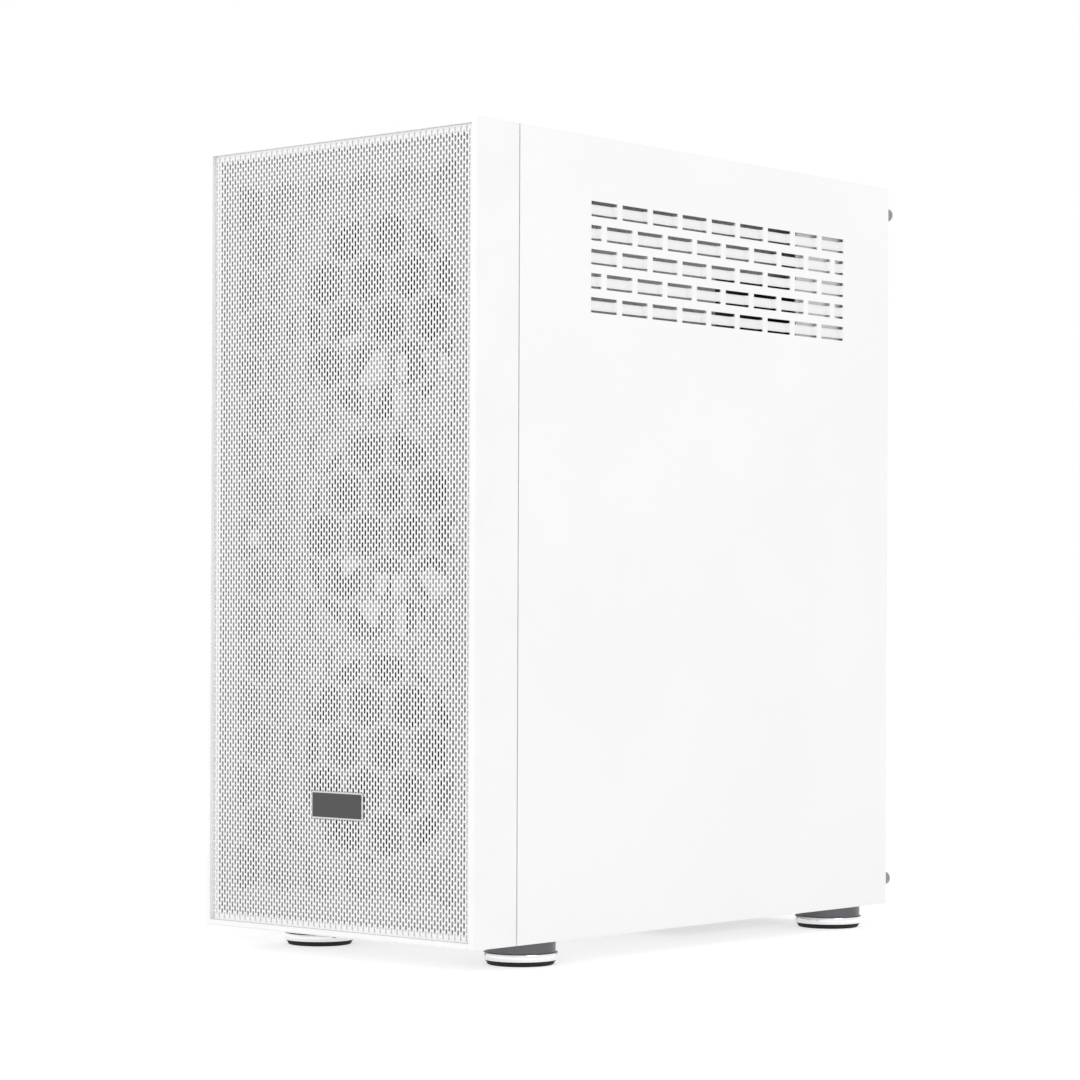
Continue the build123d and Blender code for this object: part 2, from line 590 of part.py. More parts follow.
def make_rear_wall():
    """Rear wall: connector opening, card slots, fan vent, supply opening and the side brace."""
    brace_x = HALF_W - SKIN - BRIDGE_SET - GAP - SHEET
    brace_high = ROOF_IN - BRACE_DROP
    with BuildPart() as wall:
        block((LEFT_IN, RIGHT_IN), (REAR_IN, WALL_REAR), (SHEET, ROOF_IN))
        block((brace_x, brace_x + SHEET), (WALL_REAR - BRACE_D, WALL_REAR),
              (brace_high - BRACE_H, brace_high))
        for x in ((LEFT_IN, LEFT_IN + SHEET), (RIGHT_IN - SHEET, RIGHT_IN)):
            block(x, (WALL_REAR - WALL_FLANGE, WALL_REAR), (SHEET, ROOF_IN))
        with BuildSketch(facing(WALL_REAR)):
            with Locations(((IO_LEFT + IO_RIGHT) / 2, (IO_LOW + IO_HIGH) / 2)):
                Rectangle(IO_W, IO_H)
            for slot in range(SLOTS):
                with Locations(((SLOT_LEFT + SLOT_RIGHT) / 2, FIRST_SLOT - slot * SLOT_PITCH)):
                    Rectangle(SLOT_W, SLOT_H)
            with Locations((0, SHEET + PSU_LIFT + PSU_H / 2)):
                Rectangle(PSU_W - 12, PSU_H - 12)
                with GridLocations(PSU_W - 6, PSU_H - 6, 2, 2):
                    Circle(FAN_SCREW_R)
            with Locations(*[(side * SCREW_X, height) for side in (-1, 1)
                             for height in SCREW_HEIGHTS.values()]):
                Circle(SCREW_R + FIT)
            with Locations((REAR_FAN_X, REAR_FAN_H)):
                with GridLocations(FAN_HOLES, FAN_HOLES, 2, 2):
                    Circle(FAN_SCREW_R + SNUG)
                vent = [place for place in hex_places(FAN, FAN, HEX_PITCH)
                        if place[0] ** 2 + place[1] ** 2 < (FAN_BORE_R - HEX_ACROSS) ** 2]
                with Locations(*vent):
                    RegularPolygon(HEX_ACROSS / 2, 6, major_radius=False)
        extrude(amount=SHEET, mode=Mode.SUBTRACT)
    return wall.part


def make_tray():
    """Motherboard tray with the processor cut-out and the cable slots."""
    with BuildPart() as tray:
        block((TRAY_X, TRAY_X + SHEET), (FAN_FRONT, REAR_IN), (SHEET, ROOF_IN))
        block((TRAY_X, TRAY_X + SHEET), CUTOUT_D, CUTOUT_H, mode=Mode.SUBTRACT)
        with BuildSketch(sideways(TRAY_X)):
            with Locations(*[(BOARD_FRONT - CABLE_SLOT[0] - 4, BOARD_HIGH - height)
                             for height in (50, 130, 210)]):
                SlotOverall(CABLE_SLOT[1], CABLE_SLOT[0], rotation=90)
            with Locations((BOARD_FRONT + BOARD / 2, BOARD_LOW - 20)):
                SlotOverall(CABLE_SLOT[1], CABLE_SLOT[0])
        extrude(amount=SHEET, mode=Mode.SUBTRACT)
    return tray.part


def make_shroud():
    """Cover over the power supply and the drives: a top sheet and a left skirt."""
    front, left = FAN_FRONT + FAN_T + 1, LEFT_IN + GAP
    skirt_rear = WALL_REAR - WALL_FLANGE - SNUG
    with BuildPart() as shroud:
        block((left, TRAY_X), (front, skirt_rear), (SHROUD_H - SHEET, SHROUD_H))
        block((left + SHEET, TRAY_X), (skirt_rear, REAR_IN), (SHROUD_H - SHEET, SHROUD_H))
        block((left, left + SHEET), (front, skirt_rear), (SHEET, SHROUD_H))
        with BuildSketch(level(SHROUD_H)):
            with Locations(*[(TRAY_X - 16, BOARD_FRONT + depth) for depth in (30, 130)]):
                SlotOverall(CABLE_SLOT[1], CABLE_SLOT[0], rotation=90)
        extrude(amount=-SHEET, mode=Mode.SUBTRACT)
    return shroud.part


def make_fasteners():
    """Domed rivets along the edges of the rear wall, and the front and rear fans' screws."""
    rivet_r, rivet_h = 1.7, 0.8
    places = [(x, BODY_H - 10) for x in (LEFT_IN + 30, 0, TRAY_X - 10)]
    places += [(TRAY_X + 4, height) for height in (60, 140, IO_LOW - 8, IO_HIGH + 9)]
    places += [(LEFT_IN + 20, SHROUD_H + 14), (0, SHROUD_H + 14)]
    fans = [(0, height, 1, FAN_FRONT - SHEET) for height in FRONT_FAN_HEIGHTS]
    fans.append((REAR_FAN_X, REAR_FAN_H, -1, WALL_REAR))
    with BuildPart() as fasteners:
        for x, height in places:
            with BuildSketch(rearward(x, WALL_REAR, height)):
                Circle(rivet_r)
            extrude(amount=rivet_h, taper=35)
        for x, height, direction, depth in fans:
            face = Plane(origin=(x, y_of(depth), z_of(height)), x_dir=(1, 0, 0),
                         z_dir=(0, -direction, 0))
            with BuildSketch(face):
                with GridLocations(FAN_HOLES, FAN_HOLES, 2, 2):
                    Circle(FAN_SCREW_HEAD_R)
            extrude(amount=FAN_SCREW_HEAD_T, taper=20)
            with BuildSketch(face):
                with GridLocations(FAN_HOLES, FAN_HOLES, 2, 2):
                    Circle(FAN_SCREW_R)
            extrude(amount=-FAN_SCREW_L)
    return fasteners.part


def make_feet(piece):
    """Four feet: the neck and bright ring of each, or the rubber pad under it."""
    with BuildPart() as feet:
        for x in (-HALF_W + FOOT_X, HALF_W - FOOT_X):
            for depth in (FOOT_FRONT, BODY_D - FOOT_REAR):
                centre = (x, y_of(depth))
                if piece == "cups":
                    with BuildSketch(Plane.XY.offset(BASE_Z - NECK_H)):
                        with Locations(centre):
                            Circle(NECK_R)
                    extrude(amount=NECK_H)
                    with BuildSketch(Plane.XY.offset(BASE_Z - NECK_H - RING_H)):
                        with Locations(centre):
                            Circle(RING_R)
                    extrude(amount=RING_H)
                else:
                    pad_h = FOOT_H - NECK_H - RING_H
                    with BuildSketch(Plane.XY.offset(0)):
                        with Locations(centre):
                            Circle(PAD_TIP_R)
                    with BuildSketch(Plane.XY.offset(pad_h)):
                        with Locations(centre):
                            Circle(PAD_R)
                    loft()
        if piece == "cups":
            rings = feet.faces().filter_by(GeomType.CYLINDER)
            chamfer([edge for face in rings for edge in face.edges().filter_by(GeomType.CIRCLE)
                     if abs(edge.radius - RING_R) < 0.01], 0.6)
    return feet.part


write(make_chassis_floor(), "chassis_floor")
write(make_chassis_roof(), "chassis_roof")
write(make_front_wall(), "chassis_front_wall")
write(make_rear_wall(), "chassis_rear_wall")
write(make_tray(), "motherboard_tray")
write(make_shroud(), "psu_shroud")
write(make_fasteners(), "case_fasteners")
write(make_feet("cups"), "foot_cups")
write(make_feet("pads"), "foot_pads")


# ---------------------------------------------------------------- controls, ports and filters
def make_button(x, radius):
    """Round push button: its cap through the roof and a collar under the roof."""
    with BuildPart() as button:
        with BuildSketch(level(ROOF_IN - GAP)):
            with Locations((x, CONTROL_D)):
                Circle(radius)
        extrude(amount=ROOF_T + GAP + BUTTON_PROUD)
        chamfer(button.faces().sort_by(Axis.Z)[-1].edges(), 0.4)
        with BuildSketch(level(ROOF_IN - GAP)):
            with Locations((x, CONTROL_D)):
                Circle(radius + BUTTON_COLLAR)
        extrude(amount=-2)
    return button.part


def make_control_board():
    """Circuit board under the controls, with a switch block below each button."""
    top = ROOF_IN - CONTROL_BOARD_DROP
    with BuildPart() as board:
        block((AUDIO_X - 12, POWER_X + 12), (CONTROL_D - 9, CONTROL_D + 9), (top - BOARD_T, top))
        for x in (POWER_X, RESET_X):
            block((x - 3, x + 3), (CONTROL_D - 3, CONTROL_D + 3),
                  (top, ROOF_IN - GAP - 2 - BUTTON_TRAVEL - GAP))
    return board.part


def make_front_ports():
    """Sockets of the control row, each a shell with its tongue, standing on the board."""
    low, high = ROOF_IN - CONTROL_BOARD_DROP, BODY_H - 0.2
    deep = high - 9
    with BuildPart() as ports:
        with BuildSketch(level(low)):
            with Locations(*[(x, CONTROL_D) for x in USB_A_X]):
                Rectangle(*USB_A)
            with Locations((USB_C_X, CONTROL_D)):
                SlotOverall(*USB_C)
            with Locations((AUDIO_X, CONTROL_D)):
                Circle(AUDIO_R + 1.4)
        extrude(amount=high - low)
        with BuildSketch(level(deep)):
            with Locations(*[(x, CONTROL_D) for x in USB_A_X]):
                Rectangle(USB_A[0] - 0.8, USB_A[1] - 0.8)
            with Locations((USB_C_X, CONTROL_D)):
                SlotOverall(USB_C[0] - 0.7, USB_C[1] - 0.7)
            with Locations((AUDIO_X, CONTROL_D)):
                Circle(AUDIO_R)
        extrude(amount=high - deep, mode=Mode.SUBTRACT)
        for x in USB_A_X:
            block((x - 5.5, x + 5.5), (CONTROL_D - 2.2, CONTROL_D - 0.3), (deep - 0.5, high - 0.8))
        block((USB_C_X - 3.2, USB_C_X + 3.2), (CONTROL_D - 0.35, CONTROL_D + 0.35),
              (deep - 0.5, high - 0.8))
    return ports.part


def make_status_light():
    """Light pipe between the buttons."""
    with BuildPart() as light:
        with BuildSketch(level(ROOF_IN - CONTROL_BOARD_DROP)):
            with Locations((LIGHT_X, CONTROL_D)):
                Circle(LIGHT_R)
        extrude(amount=CONTROL_BOARD_DROP + ROOF_T)
    return light.part


def make_top_filter():
    """Magnetic dust filter that lies in the roof's recess."""
    x = (LEFT_IN + FILTER_SIDE - 6 + GAP, RIGHT_IN - FILTER_SIDE - GAP)
    depth = (FILTER_FRONT + GAP, BODY_D - FILTER_REAR - GAP)
    with BuildPart() as dust_filter:
        block(x, depth, (BODY_H - FILTER_T, BODY_H - FILTER_T / 2))
        block(x, depth, (BODY_H - FILTER_T / 2, BODY_H))
        border = 6
        block((x[0] + border, x[1] - border), (depth[0] + border, depth[1] - border),
              (BODY_H - FILTER_T / 2, BODY_H), mode=Mode.SUBTRACT)
    return dust_filter.part


def make_bottom_filter():
    """Sliding dust filter under the power supply, with a pull tab at the rear."""
    half, border = BOTTOM_FILTER_W / 2, 6
    depth = (REAR_IN - BOTTOM_FILTER_L, WALL_REAR)
    top = -GAP
    with BuildPart() as dust_filter:
        block((-half, half), depth, (top - BOTTOM_FILTER_T, top))
        block((border - half, half - border), (depth[0] + border, depth[1] - 2 * border),
              (top - 0.7, top), mode=Mode.SUBTRACT)
        block((-15, 15), (depth[1] - 2.5, depth[1]), (top - BOTTOM_FILTER_T - 3.5, top - 1))
    return dust_filter.part


write(make_button(POWER_X, POWER_R), "power_button")
write(make_button(RESET_X, RESET_R), "reset_button")
write(make_control_board(), "control_board")
write(make_front_ports(), "front_ports")
write(make_status_light(), "status_light")
write(make_top_filter(), "top_filter")
write(make_bottom_filter(), "bottom_filter")


# ---------------------------------------------------------------- power supply
PSU_LOW = SHEET + PSU_LIFT
PSU_FRONT = REAR_IN - PSU_D
PSU_FAN_DEPTH = REAR_IN - PSU_D / 2
MODULE_X = (-66.0, -20.0)                   # inlet and switch module, seen from the rear face
MODULE_H = (PSU_LOW + 30, PSU_LOW + 58)
INLET_X, SWITCH_X = -51.0, -28.5
INLET = (24.4, 16.4)
ROCKER_W, ROCKER_R = 12.0, 9.0
SWITCH_H = sum(MODULE_H) / 2
ROCKER_DEPTH = REAR_IN - 3.0                # pivot of the rocker


def make_psu_housing():
    """Power supply case: fan opening below with its motor bar, vent and module opening behind."""
    with BuildPart() as housing:
        block((-PSU_W / 2, PSU_W / 2), (PSU_FRONT, REAR_IN), (PSU_LOW, PSU_LOW + PSU_H))
        block((PSU_WALL - PSU_W / 2, PSU_W / 2 - PSU_WALL),
              (PSU_FRONT + PSU_WALL, REAR_IN - PSU_WALL),
              (PSU_LOW + PSU_WALL, PSU_LOW + PSU_H - PSU_WALL), mode=Mode.SUBTRACT)
        with BuildSketch(level(PSU_LOW)):
            with Locations((0, PSU_FAN_DEPTH)):
                Circle(FAN_BORE_R)
        extrude(amount=PSU_WALL, mode=Mode.SUBTRACT)
        bar = (PSU_LOW + FAN_T, PSU_LOW + FAN_T + STRUT_T)
        block((-PSU_W / 2 + PSU_WALL / 2, PSU_W / 2 - PSU_WALL / 2),
              (PSU_FAN_DEPTH - 8, PSU_FAN_DEPTH + 8), bar)
        with BuildSketch(level(bar[0])):
            with Locations((0, PSU_FAN_DEPTH)):
                Circle(FAN_HUB_R)
        extrude(amount=STRUT_T)
        with BuildSketch(level(bar[0])):
            with Locations((0, PSU_FAN_DEPTH)):
                Circle(FAN_SHAFT_R + FIT)
        extrude(amount=STRUT_T, mode=Mode.SUBTRACT)
        with BuildSketch(facing(REAR_IN)):
            with Locations((sum(MODULE_X) / 2, SWITCH_H)):
                Rectangle(MODULE_X[1] - MODULE_X[0] - 4, MODULE_H[1] - MODULE_H[0] - 4)
            with Locations((26, PSU_LOW + PSU_H / 2)):
                with Locations(*hex_places(74, 62, HEX_PITCH)):
                    RegularPolygon(HEX_ACROSS / 2, 6, major_radius=False)
        extrude(amount=PSU_WALL, mode=Mode.SUBTRACT)
    return housing.part


def make_psu_inlet():
    """Mains inlet with its three pins, and the cradle of the rocker beside it."""
    face = REAR_IN + 1.6
    with BuildPart() as module:
        block(MODULE_X, (REAR_IN, face), MODULE_H)
        block((MODULE_X[0] + 2.2, MODULE_X[1] - 2.2), (REAR_IN - 22, REAR_IN),
              (MODULE_H[0] + 2.2, MODULE_H[1] - 2.2))
        block((INLET_X - INLET[0] / 2, INLET_X + INLET[0] / 2), (REAR_IN - 19, face),
              (SWITCH_H - INLET[1] / 2, SWITCH_H + INLET[1] / 2), mode=Mode.SUBTRACT)
        for x, rise in ((-7, -1.5), (0, 2.5), (7, -1.5)):
            block((INLET_X + x - 1, INLET_X + x + 1), (REAR_IN - 20, REAR_IN - 2),
                  (SWITCH_H + rise - 2, SWITCH_H + rise + 2))
        block((SWITCH_X - ROCKER_W / 2 - GAP, SWITCH_X + ROCKER_W / 2 + GAP),
              (REAR_IN - 16, face), (SWITCH_H - ROCKER_R - GAP, SWITCH_H + ROCKER_R + GAP),
              mode=Mode.SUBTRACT)
        pivot = Plane(origin=(SWITCH_X - ROCKER_W / 2 - 1.5, y_of(ROCKER_DEPTH), z_of(SWITCH_H)),
                      x_dir=(0, 1, 0), z_dir=(1, 0, 0))
        with BuildSketch(pivot):
            Circle(1.2)
        extrude(amount=ROCKER_W + 3)
    return module.part


def make_psu_rocker():
    """Two-way rocker: arc ends about its pivot, one half pressed in."""
    tilt = 14
    plane = Plane(origin=(SWITCH_X - ROCKER_W / 2, y_of(ROCKER_DEPTH), z_of(SWITCH_H)),
                  x_dir=(0, 1, 0), z_dir=(1, 0, 0))
    crown, far = 5.6, ROCKER_R * 1.2
    with BuildPart() as rocker:
        with BuildSketch(plane):
            Circle(ROCKER_R)
            Polygon((-5, -far), (crown - far * tan(radians(tilt)), -far), (crown, 0), (crown, far),
                    (-5, far), align=None, mode=Mode.INTERSECT)
            Circle(1.2 + FIT, mode=Mode.SUBTRACT)
        extrude(amount=ROCKER_W)
    return rocker.part


write(make_psu_housing(), "psu_housing")
write(make_psu_inlet(), "psu_inlet")
write(make_psu_rocker(), "psu_rocker")
psu_rotor_plane = level(PSU_LOW + FAN_T - END_GAP - FAN_HUB_H)
psu_rotor_plane = Plane(origin=psu_rotor_plane.from_local_coords((0, PSU_FAN_DEPTH, 0)),
                        x_dir=(1, 0, 0), z_dir=(0, 0, 1))
write(make_rotor(psu_rotor_plane, FAN_BORE_R - 1.2, FAN_HUB_R, FAN_HUB_H, FAN_SHAFT_L),
      "psu_fan_rotor")


# ---------------------------------------------------------------- drives
CAGE_D = (FAN_FRONT + FAN_T + 18, FAN_FRONT + FAN_T + 18 + 101.6 + 2 * SHEET + 2 * SNUG)
CAGE_X, CAGE_H = (-70.0, 62.0), 76.0
DRIVE = (147.0, 101.6, 26.1)


def make_drive_cage():
    """Folded cage for two drives, open at both ends."""
    with BuildPart() as cage:
        block(CAGE_X, CAGE_D, (SHEET, CAGE_H))
        block((CAGE_X[0] - 1, CAGE_X[1] + 1), (CAGE_D[0] + SHEET, CAGE_D[1] - SHEET),
              (SHEET, CAGE_H - SHEET), mode=Mode.SUBTRACT)
    return cage.part


def make_hard_drive():
    """Drive in the cage's lower bay."""
    low = SHEET + 6
    with BuildPart() as drive:
        block((CAGE_X[0] - 6, CAGE_X[0] - 6 + DRIVE[0]),
              (CAGE_D[0] + SHEET + SNUG, CAGE_D[0] + SHEET + SNUG + DRIVE[1]),
              (low, low + DRIVE[2]))
        chamfer(drive.edges().filter_by(Axis.Z), 2)
        top = drive.faces().sort_by(Axis.Z)[-1]
        with BuildSketch(top):
            with Locations((-16, 0)):
                Circle(38)
        extrude(amount=-0.8, mode=Mode.SUBTRACT)
    return drive.part


def make_solid_state_drive():
    """Flat drive on top of the shroud."""
    with BuildPart() as drive:
        block((-62, 8), (CAGE_D[0] + 20, CAGE_D[0] + 120), (SHROUD_H, SHROUD_H + 7))
        chamfer(drive.edges().filter_by(Axis.Z), 1.5)
        fillet(drive.faces().sort_by(Axis.Z)[-1].edges(), 0.5)
    return drive.part


write(make_drive_cage(), "drive_cage")
write(make_hard_drive(), "hard_drive")
write(make_solid_state_drive(), "solid_state_drive")


# ---------------------------------------------------------------- motherboard and what is on it
def on_board(depth, height, reach, mode=Mode.ADD):
    """Block that stands on the board's component face."""
    block((BOARD_X - reach, BOARD_X), depth, height, mode=mode)


def make_standoffs():
    """Hexagonal posts between the tray and the board."""
    with BuildPart() as posts:
        with BuildSketch(sideways(BOARD_X + BOARD_T)):
            with Locations(*STANDOFF_PLACES):
                RegularPolygon(2.9, 6)
        extrude(amount=STANDOFF)
    return posts.part


def make_motherboard():
    """Bare circuit board with its screw holes."""
    with BuildPart() as board:
        block((BOARD_X, BOARD_X + BOARD_T), (BOARD_FRONT, BOARD_REAR), (BOARD_LOW, BOARD_HIGH))
        with BuildSketch(sideways(BOARD_X)):
            with Locations(*STANDOFF_PLACES):
                Circle(1.9)
        extrude(amount=BOARD_T, mode=Mode.SUBTRACT)
    return board.part


# rear connectors: centre below IO_HIGH, and height
PORTS = [(16, 15), (45, 15), (66, 15), (87, 15), (111, 16), (140, 12)]
PORT_WIDTH = 30.0


def port_box(drop, tall):
    """X and height ranges of one rear connector."""
    return (BOARD_X - PORT_WIDTH, BOARD_X), (IO_HIGH - drop - tall / 2, IO_HIGH - drop + tall / 2)


def make_io_ports():
    """Rear connectors on the board's edge."""
    with BuildPart() as ports:
        for drop, tall in PORTS:
            x, height = port_box(drop, tall)
            block(x, (BOARD_REAR - 20, WALL_REAR + 0.6), height)
        for drop, tall in PORTS[:4]:
            x, height = port_box(drop, tall)
            for low in (x[0] + 1.5, x[0] + 16.5):
                block((low, low + 12), (BOARD_REAR - 8, WALL_REAR + 0.6),
                      (height[0] + 1, height[1] - 1), mode=Mode.SUBTRACT)
                block((low + 3.6, low + 5.4), (BOARD_REAR - 9, WALL_REAR - 0.6),
                      (height[0] + 1.6, height[1] - 1.6))
                block((low + 7.2, low + 9.0), (BOARD_REAR - 9, WALL_REAR - 0.6),
                      (height[0] + 1.6, height[1] - 1.6))
        x, height = port_box(*PORTS[4])
        block((x[0] + 8, x[0] + 22), (BOARD_REAR - 12, WALL_REAR + 0.6),
              (height[0] + 1.5, height[1] - 1.5), mode=Mode.SUBTRACT)
        x, height = port_box(*PORTS[5])
        with BuildSketch(facing(WALL_REAR + 0.6)):
            with Locations(*[(x[0] + 5 + 10 * jack, sum(height) / 2) for jack in range(3)]):
                Circle(AUDIO_R)
        extrude(amount=12, mode=Mode.SUBTRACT)
    return ports.part


def make_io_shield():
    """Plate that fills the connector opening round the rear connectors."""
    with BuildPart() as shield:
        block((IO_LEFT + SNUG, IO_RIGHT - SNUG), (REAR_IN, WALL_REAR),
              (IO_LOW + SNUG, IO_HIGH - SNUG))
        for drop, tall in PORTS:
            x, height = port_box(drop, tall)
            block((x[0] - SNUG, x[1] + SNUG), (REAR_IN, WALL_REAR),
                  (height[0] - SNUG, height[1] + SNUG), mode=Mode.SUBTRACT)
    return shield.part


def make_socket():
    """Processor socket with its load plate and the processor's lid."""
    centre = (COOLER_DEPTH + COOLER_D / 2, COOLER_HEIGHT)
    with BuildPart() as socket:
        on_board((centre[0] - 26, centre[0] + 26), (centre[1] - 26, centre[1] + 26), 5)
        on_board((centre[0] - 19, centre[0] + 19), (centre[1] - 19, centre[1] + 19), 7.5)
        chamfer(socket.faces().sort_by(Axis.X)[0].edges(), 1)
    return socket.part


PIPE_PLACES = [(depth, height) for depth in (13, COOLER_D - 13) for height in (-36, -20, 20, 36)]


def make_cooler_base():
    """Copper base block of the cooler, and its heat pipes up through the fins."""
    centre = (COOLER_DEPTH + COOLER_D / 2, COOLER_HEIGHT)
    top = BOARD_X - 7.5
    tip = COOLER_X_HIGH - (FINS - 1) * FIN_PITCH - 4
    with BuildPart() as base:
        block((top - 12, top), (centre[0] - 21, centre[0] + 21), (centre[1] - 42, centre[1] + 42))
        with BuildSketch(sideways(tip)):
            with Locations(*[(COOLER_DEPTH + depth, COOLER_HEIGHT + rise)
                             for depth, rise in PIPE_PLACES]):
                Circle(PIPE_R)
        extrude(amount=top - 6 - tip)
    return base.part


def make_cooler_fins():
    """Stack of thin fins on the heat pipes."""
    with BuildPart() as fins:
        for index in range(FINS):
            x = COOLER_X_HIGH - index * FIN_PITCH - FIN_T
            with BuildSketch(sideways(x)):
                with Locations((COOLER_DEPTH + COOLER_D / 2, COOLER_HEIGHT)):
                    Rectangle(COOLER_D, COOLER_H)
                with Locations(*[(COOLER_DEPTH + depth, COOLER_HEIGHT + rise)
                                 for depth, rise in PIPE_PLACES]):
                    Circle(PIPE_R + 0.02, mode=Mode.SUBTRACT)
            extrude(amount=FIN_T)
    return fins.part


MEMORY_L, MEMORY_REACH = 133.0, 38.0
MEMORY_D = [COOLER_DEPTH - FAN_T - 14 - 9.5 * index for index in range(4)]
MEMORY_LOW = BOARD_HIGH - 16 - MEMORY_L


def make_memory_slots():
    """Four sockets for memory modules."""
    with BuildPart() as slots:
        for depth in MEMORY_D:
            on_board((depth - 3.2, depth + 3.2), (MEMORY_LOW - 4, MEMORY_LOW + MEMORY_L + 4), 8)
            on_board((depth - 0.8, depth + 0.8), (MEMORY_LOW - 0.1, MEMORY_LOW + MEMORY_L + 0.1), 8,
                     mode=Mode.SUBTRACT)
            block((BOARD_X - 2, BOARD_X), (depth - 0.9, depth + 0.9),
                  (MEMORY_LOW - 1, MEMORY_LOW + MEMORY_L + 1))
    return slots.part


def make_memory_modules():
    """Two memory modules in alternate slots, each with its heat spreader."""
    with BuildPart() as modules:
        for depth in MEMORY_D[0::2]:
            block((BOARD_X - MEMORY_REACH, BOARD_X - 2), (depth - 0.6, depth + 0.6),
                  (MEMORY_LOW, MEMORY_LOW + MEMORY_L))
            block((BOARD_X - MEMORY_REACH - 2, BOARD_X - 10), (depth - 3, depth + 3),
                  (MEMORY_LOW, MEMORY_LOW + MEMORY_L))
    return modules.part


SLOT_L = 89.0
CARD_SLOT_REACH = 11.0
CARD_T = 1.6


def make_expansion_slots():
    """Card sockets on the board, in line with the rear slots."""
    with BuildPart() as slots:
        for index in (0, 2, 3):
            height = FIRST_SLOT - index * SLOT_PITCH
            depth = (BOARD_REAR - 50 - SLOT_L, BOARD_REAR - 50)
            on_board(depth, (height - 3.7, height + 3.7), CARD_SLOT_REACH)
            block((BOARD_X - CARD_SLOT_REACH, BOARD_X - 2.5), (depth[0] + 2, depth[1] - 2),
                  (height - 0.9, height + 0.9), mode=Mode.SUBTRACT)
    return slots.part


def make_board_heatsinks():
    """Finned heatsinks by the processor and over the chipset."""
    vrm_d = (COOLER_DEPTH + COOLER_D + 10, BOARD_REAR - 24)
    vrm_h = (BOARD_HIGH - 115, BOARD_HIGH - 22)
    with BuildPart() as sinks:
        on_board(vrm_d, vrm_h, 26)
        for index in range(5):
            height = vrm_h[0] + 12 + index * 16
            block((BOARD_X - 26, BOARD_X - 12), vrm_d, (height, height + 4), mode=Mode.SUBTRACT)
        chip = (BOARD_FRONT + 18, BOARD_FRONT + 66), (BOARD_LOW + 22, BOARD_LOW + 70)
        on_board(*chip, 9)
        chamfer(sinks.edges().filter_by(Axis.X), 1.5)
    return sinks.part


def make_power_sockets():
    """Board power sockets with their rows of cells."""
    main_low = BOARD_HIGH - 100
    cell, cells = 4.2, 12
    with BuildPart() as sockets:
        on_board((BOARD_FRONT + 2, BOARD_FRONT + 12), (main_low, main_low + cell * cells + 2), 12)
        for row in range(cells):
            for column in range(2):
                low, depth = main_low + 1.4 + row * cell, BOARD_FRONT + 3.2 + column * cell
                block((BOARD_X - 12, BOARD_X - 3), (depth, depth + 3.2), (low, low + 3.2),
                      mode=Mode.SUBTRACT)
        on_board((BOARD_REAR - 60, BOARD_REAR - 42), (BOARD_HIGH - 13, BOARD_HIGH - 3), 12)
    return sockets.part


write(make_standoffs(), "board_standoffs")
write(make_motherboard(), "motherboard")
write(make_io_ports(), "io_ports")
write(make_io_shield(), "io_shield")
write(make_socket(), "processor_socket")
write(make_cooler_base(), "cooler_base")
write(make_cooler_fins(), "cooler_fins")
write(make_memory_slots(), "memory_slots")
write(make_memory_modules(), "memory_modules")
write(make_expansion_slots(), "expansion_slots")
write(make_board_heatsinks(), "board_heatsinks")
write(make_power_sockets(), "power_sockets")


# ---------------------------------------------------------------- graphics card and slot covers
CARD_L, CARD_REACH, CARD_COOLER = 170.0, 112.0, 35.0
CARD_H = (FIRST_SLOT - CARD_T / 2, FIRST_SLOT + CARD_T / 2)
CARD_D = (BOARD_REAR - CARD_L, REAR_IN - 1)
CARD_EDGE = BOARD_X - CARD_SLOT_REACH - 1
CARD_FAN_R = 42.0
CARD_FAN_X = CARD_EDGE - CARD_REACH / 2 + 2
CARD_FAN_D = sum(CARD_D) / 2


def make_graphics_board():
    """Card's circuit board, with the contact edge in the first slot."""
    finger = (BOARD_REAR - 50 - SLOT_L + 3, BOARD_REAR - 50 - 3)
    with BuildPart() as card:
        block((CARD_EDGE - CARD_REACH, CARD_EDGE), CARD_D, CARD_H)
        block((CARD_EDGE - 1, BOARD_X - 3.5), finger, CARD_H)
    return card.part


def make_graphics_shroud():
    """Card's cooler housing under the board, with its fan opening and motor bar."""
    low = CARD_H[0] - CARD_COOLER
    x = (CARD_EDGE - CARD_REACH, CARD_EDGE - 6)
    depth = (CARD_D[0], CARD_D[1] - 4)
    with BuildPart() as shroud:
        block(x, depth, (low, CARD_H[0]))
        chamfer(shroud.edges().filter_by(Axis.Z), 4)
        with BuildSketch(level(low)):
            with Locations((CARD_FAN_X, CARD_FAN_D)):
                Circle(CARD_FAN_R)
        extrude(amount=16, mode=Mode.SUBTRACT)
        with BuildSketch(level(low + 12)):
            with Locations((CARD_FAN_X, CARD_FAN_D)):
                Circle(FAN_SHAFT_R + FIT)
        extrude(amount=8, mode=Mode.SUBTRACT)
        for index in range(6):
            height = low + 19 + index * 2.6
            block((x[0] - 1, x[0] + 12), (depth[0] + 12, depth[1] - 12), (height, height + 1.4),
                  mode=Mode.SUBTRACT)
    return shroud.part


def cover_plate(slot):
    """One slot's cover against the inside of the rear wall, in the part being built."""
    height = FIRST_SLOT - slot * SLOT_PITCH
    block((SLOT_LEFT - 4, SLOT_RIGHT + 3), (REAR_IN - 0.9, REAR_IN),
          (height - SLOT_PITCH / 2 + 0.5, height + SLOT_PITCH / 2 - 0.5))


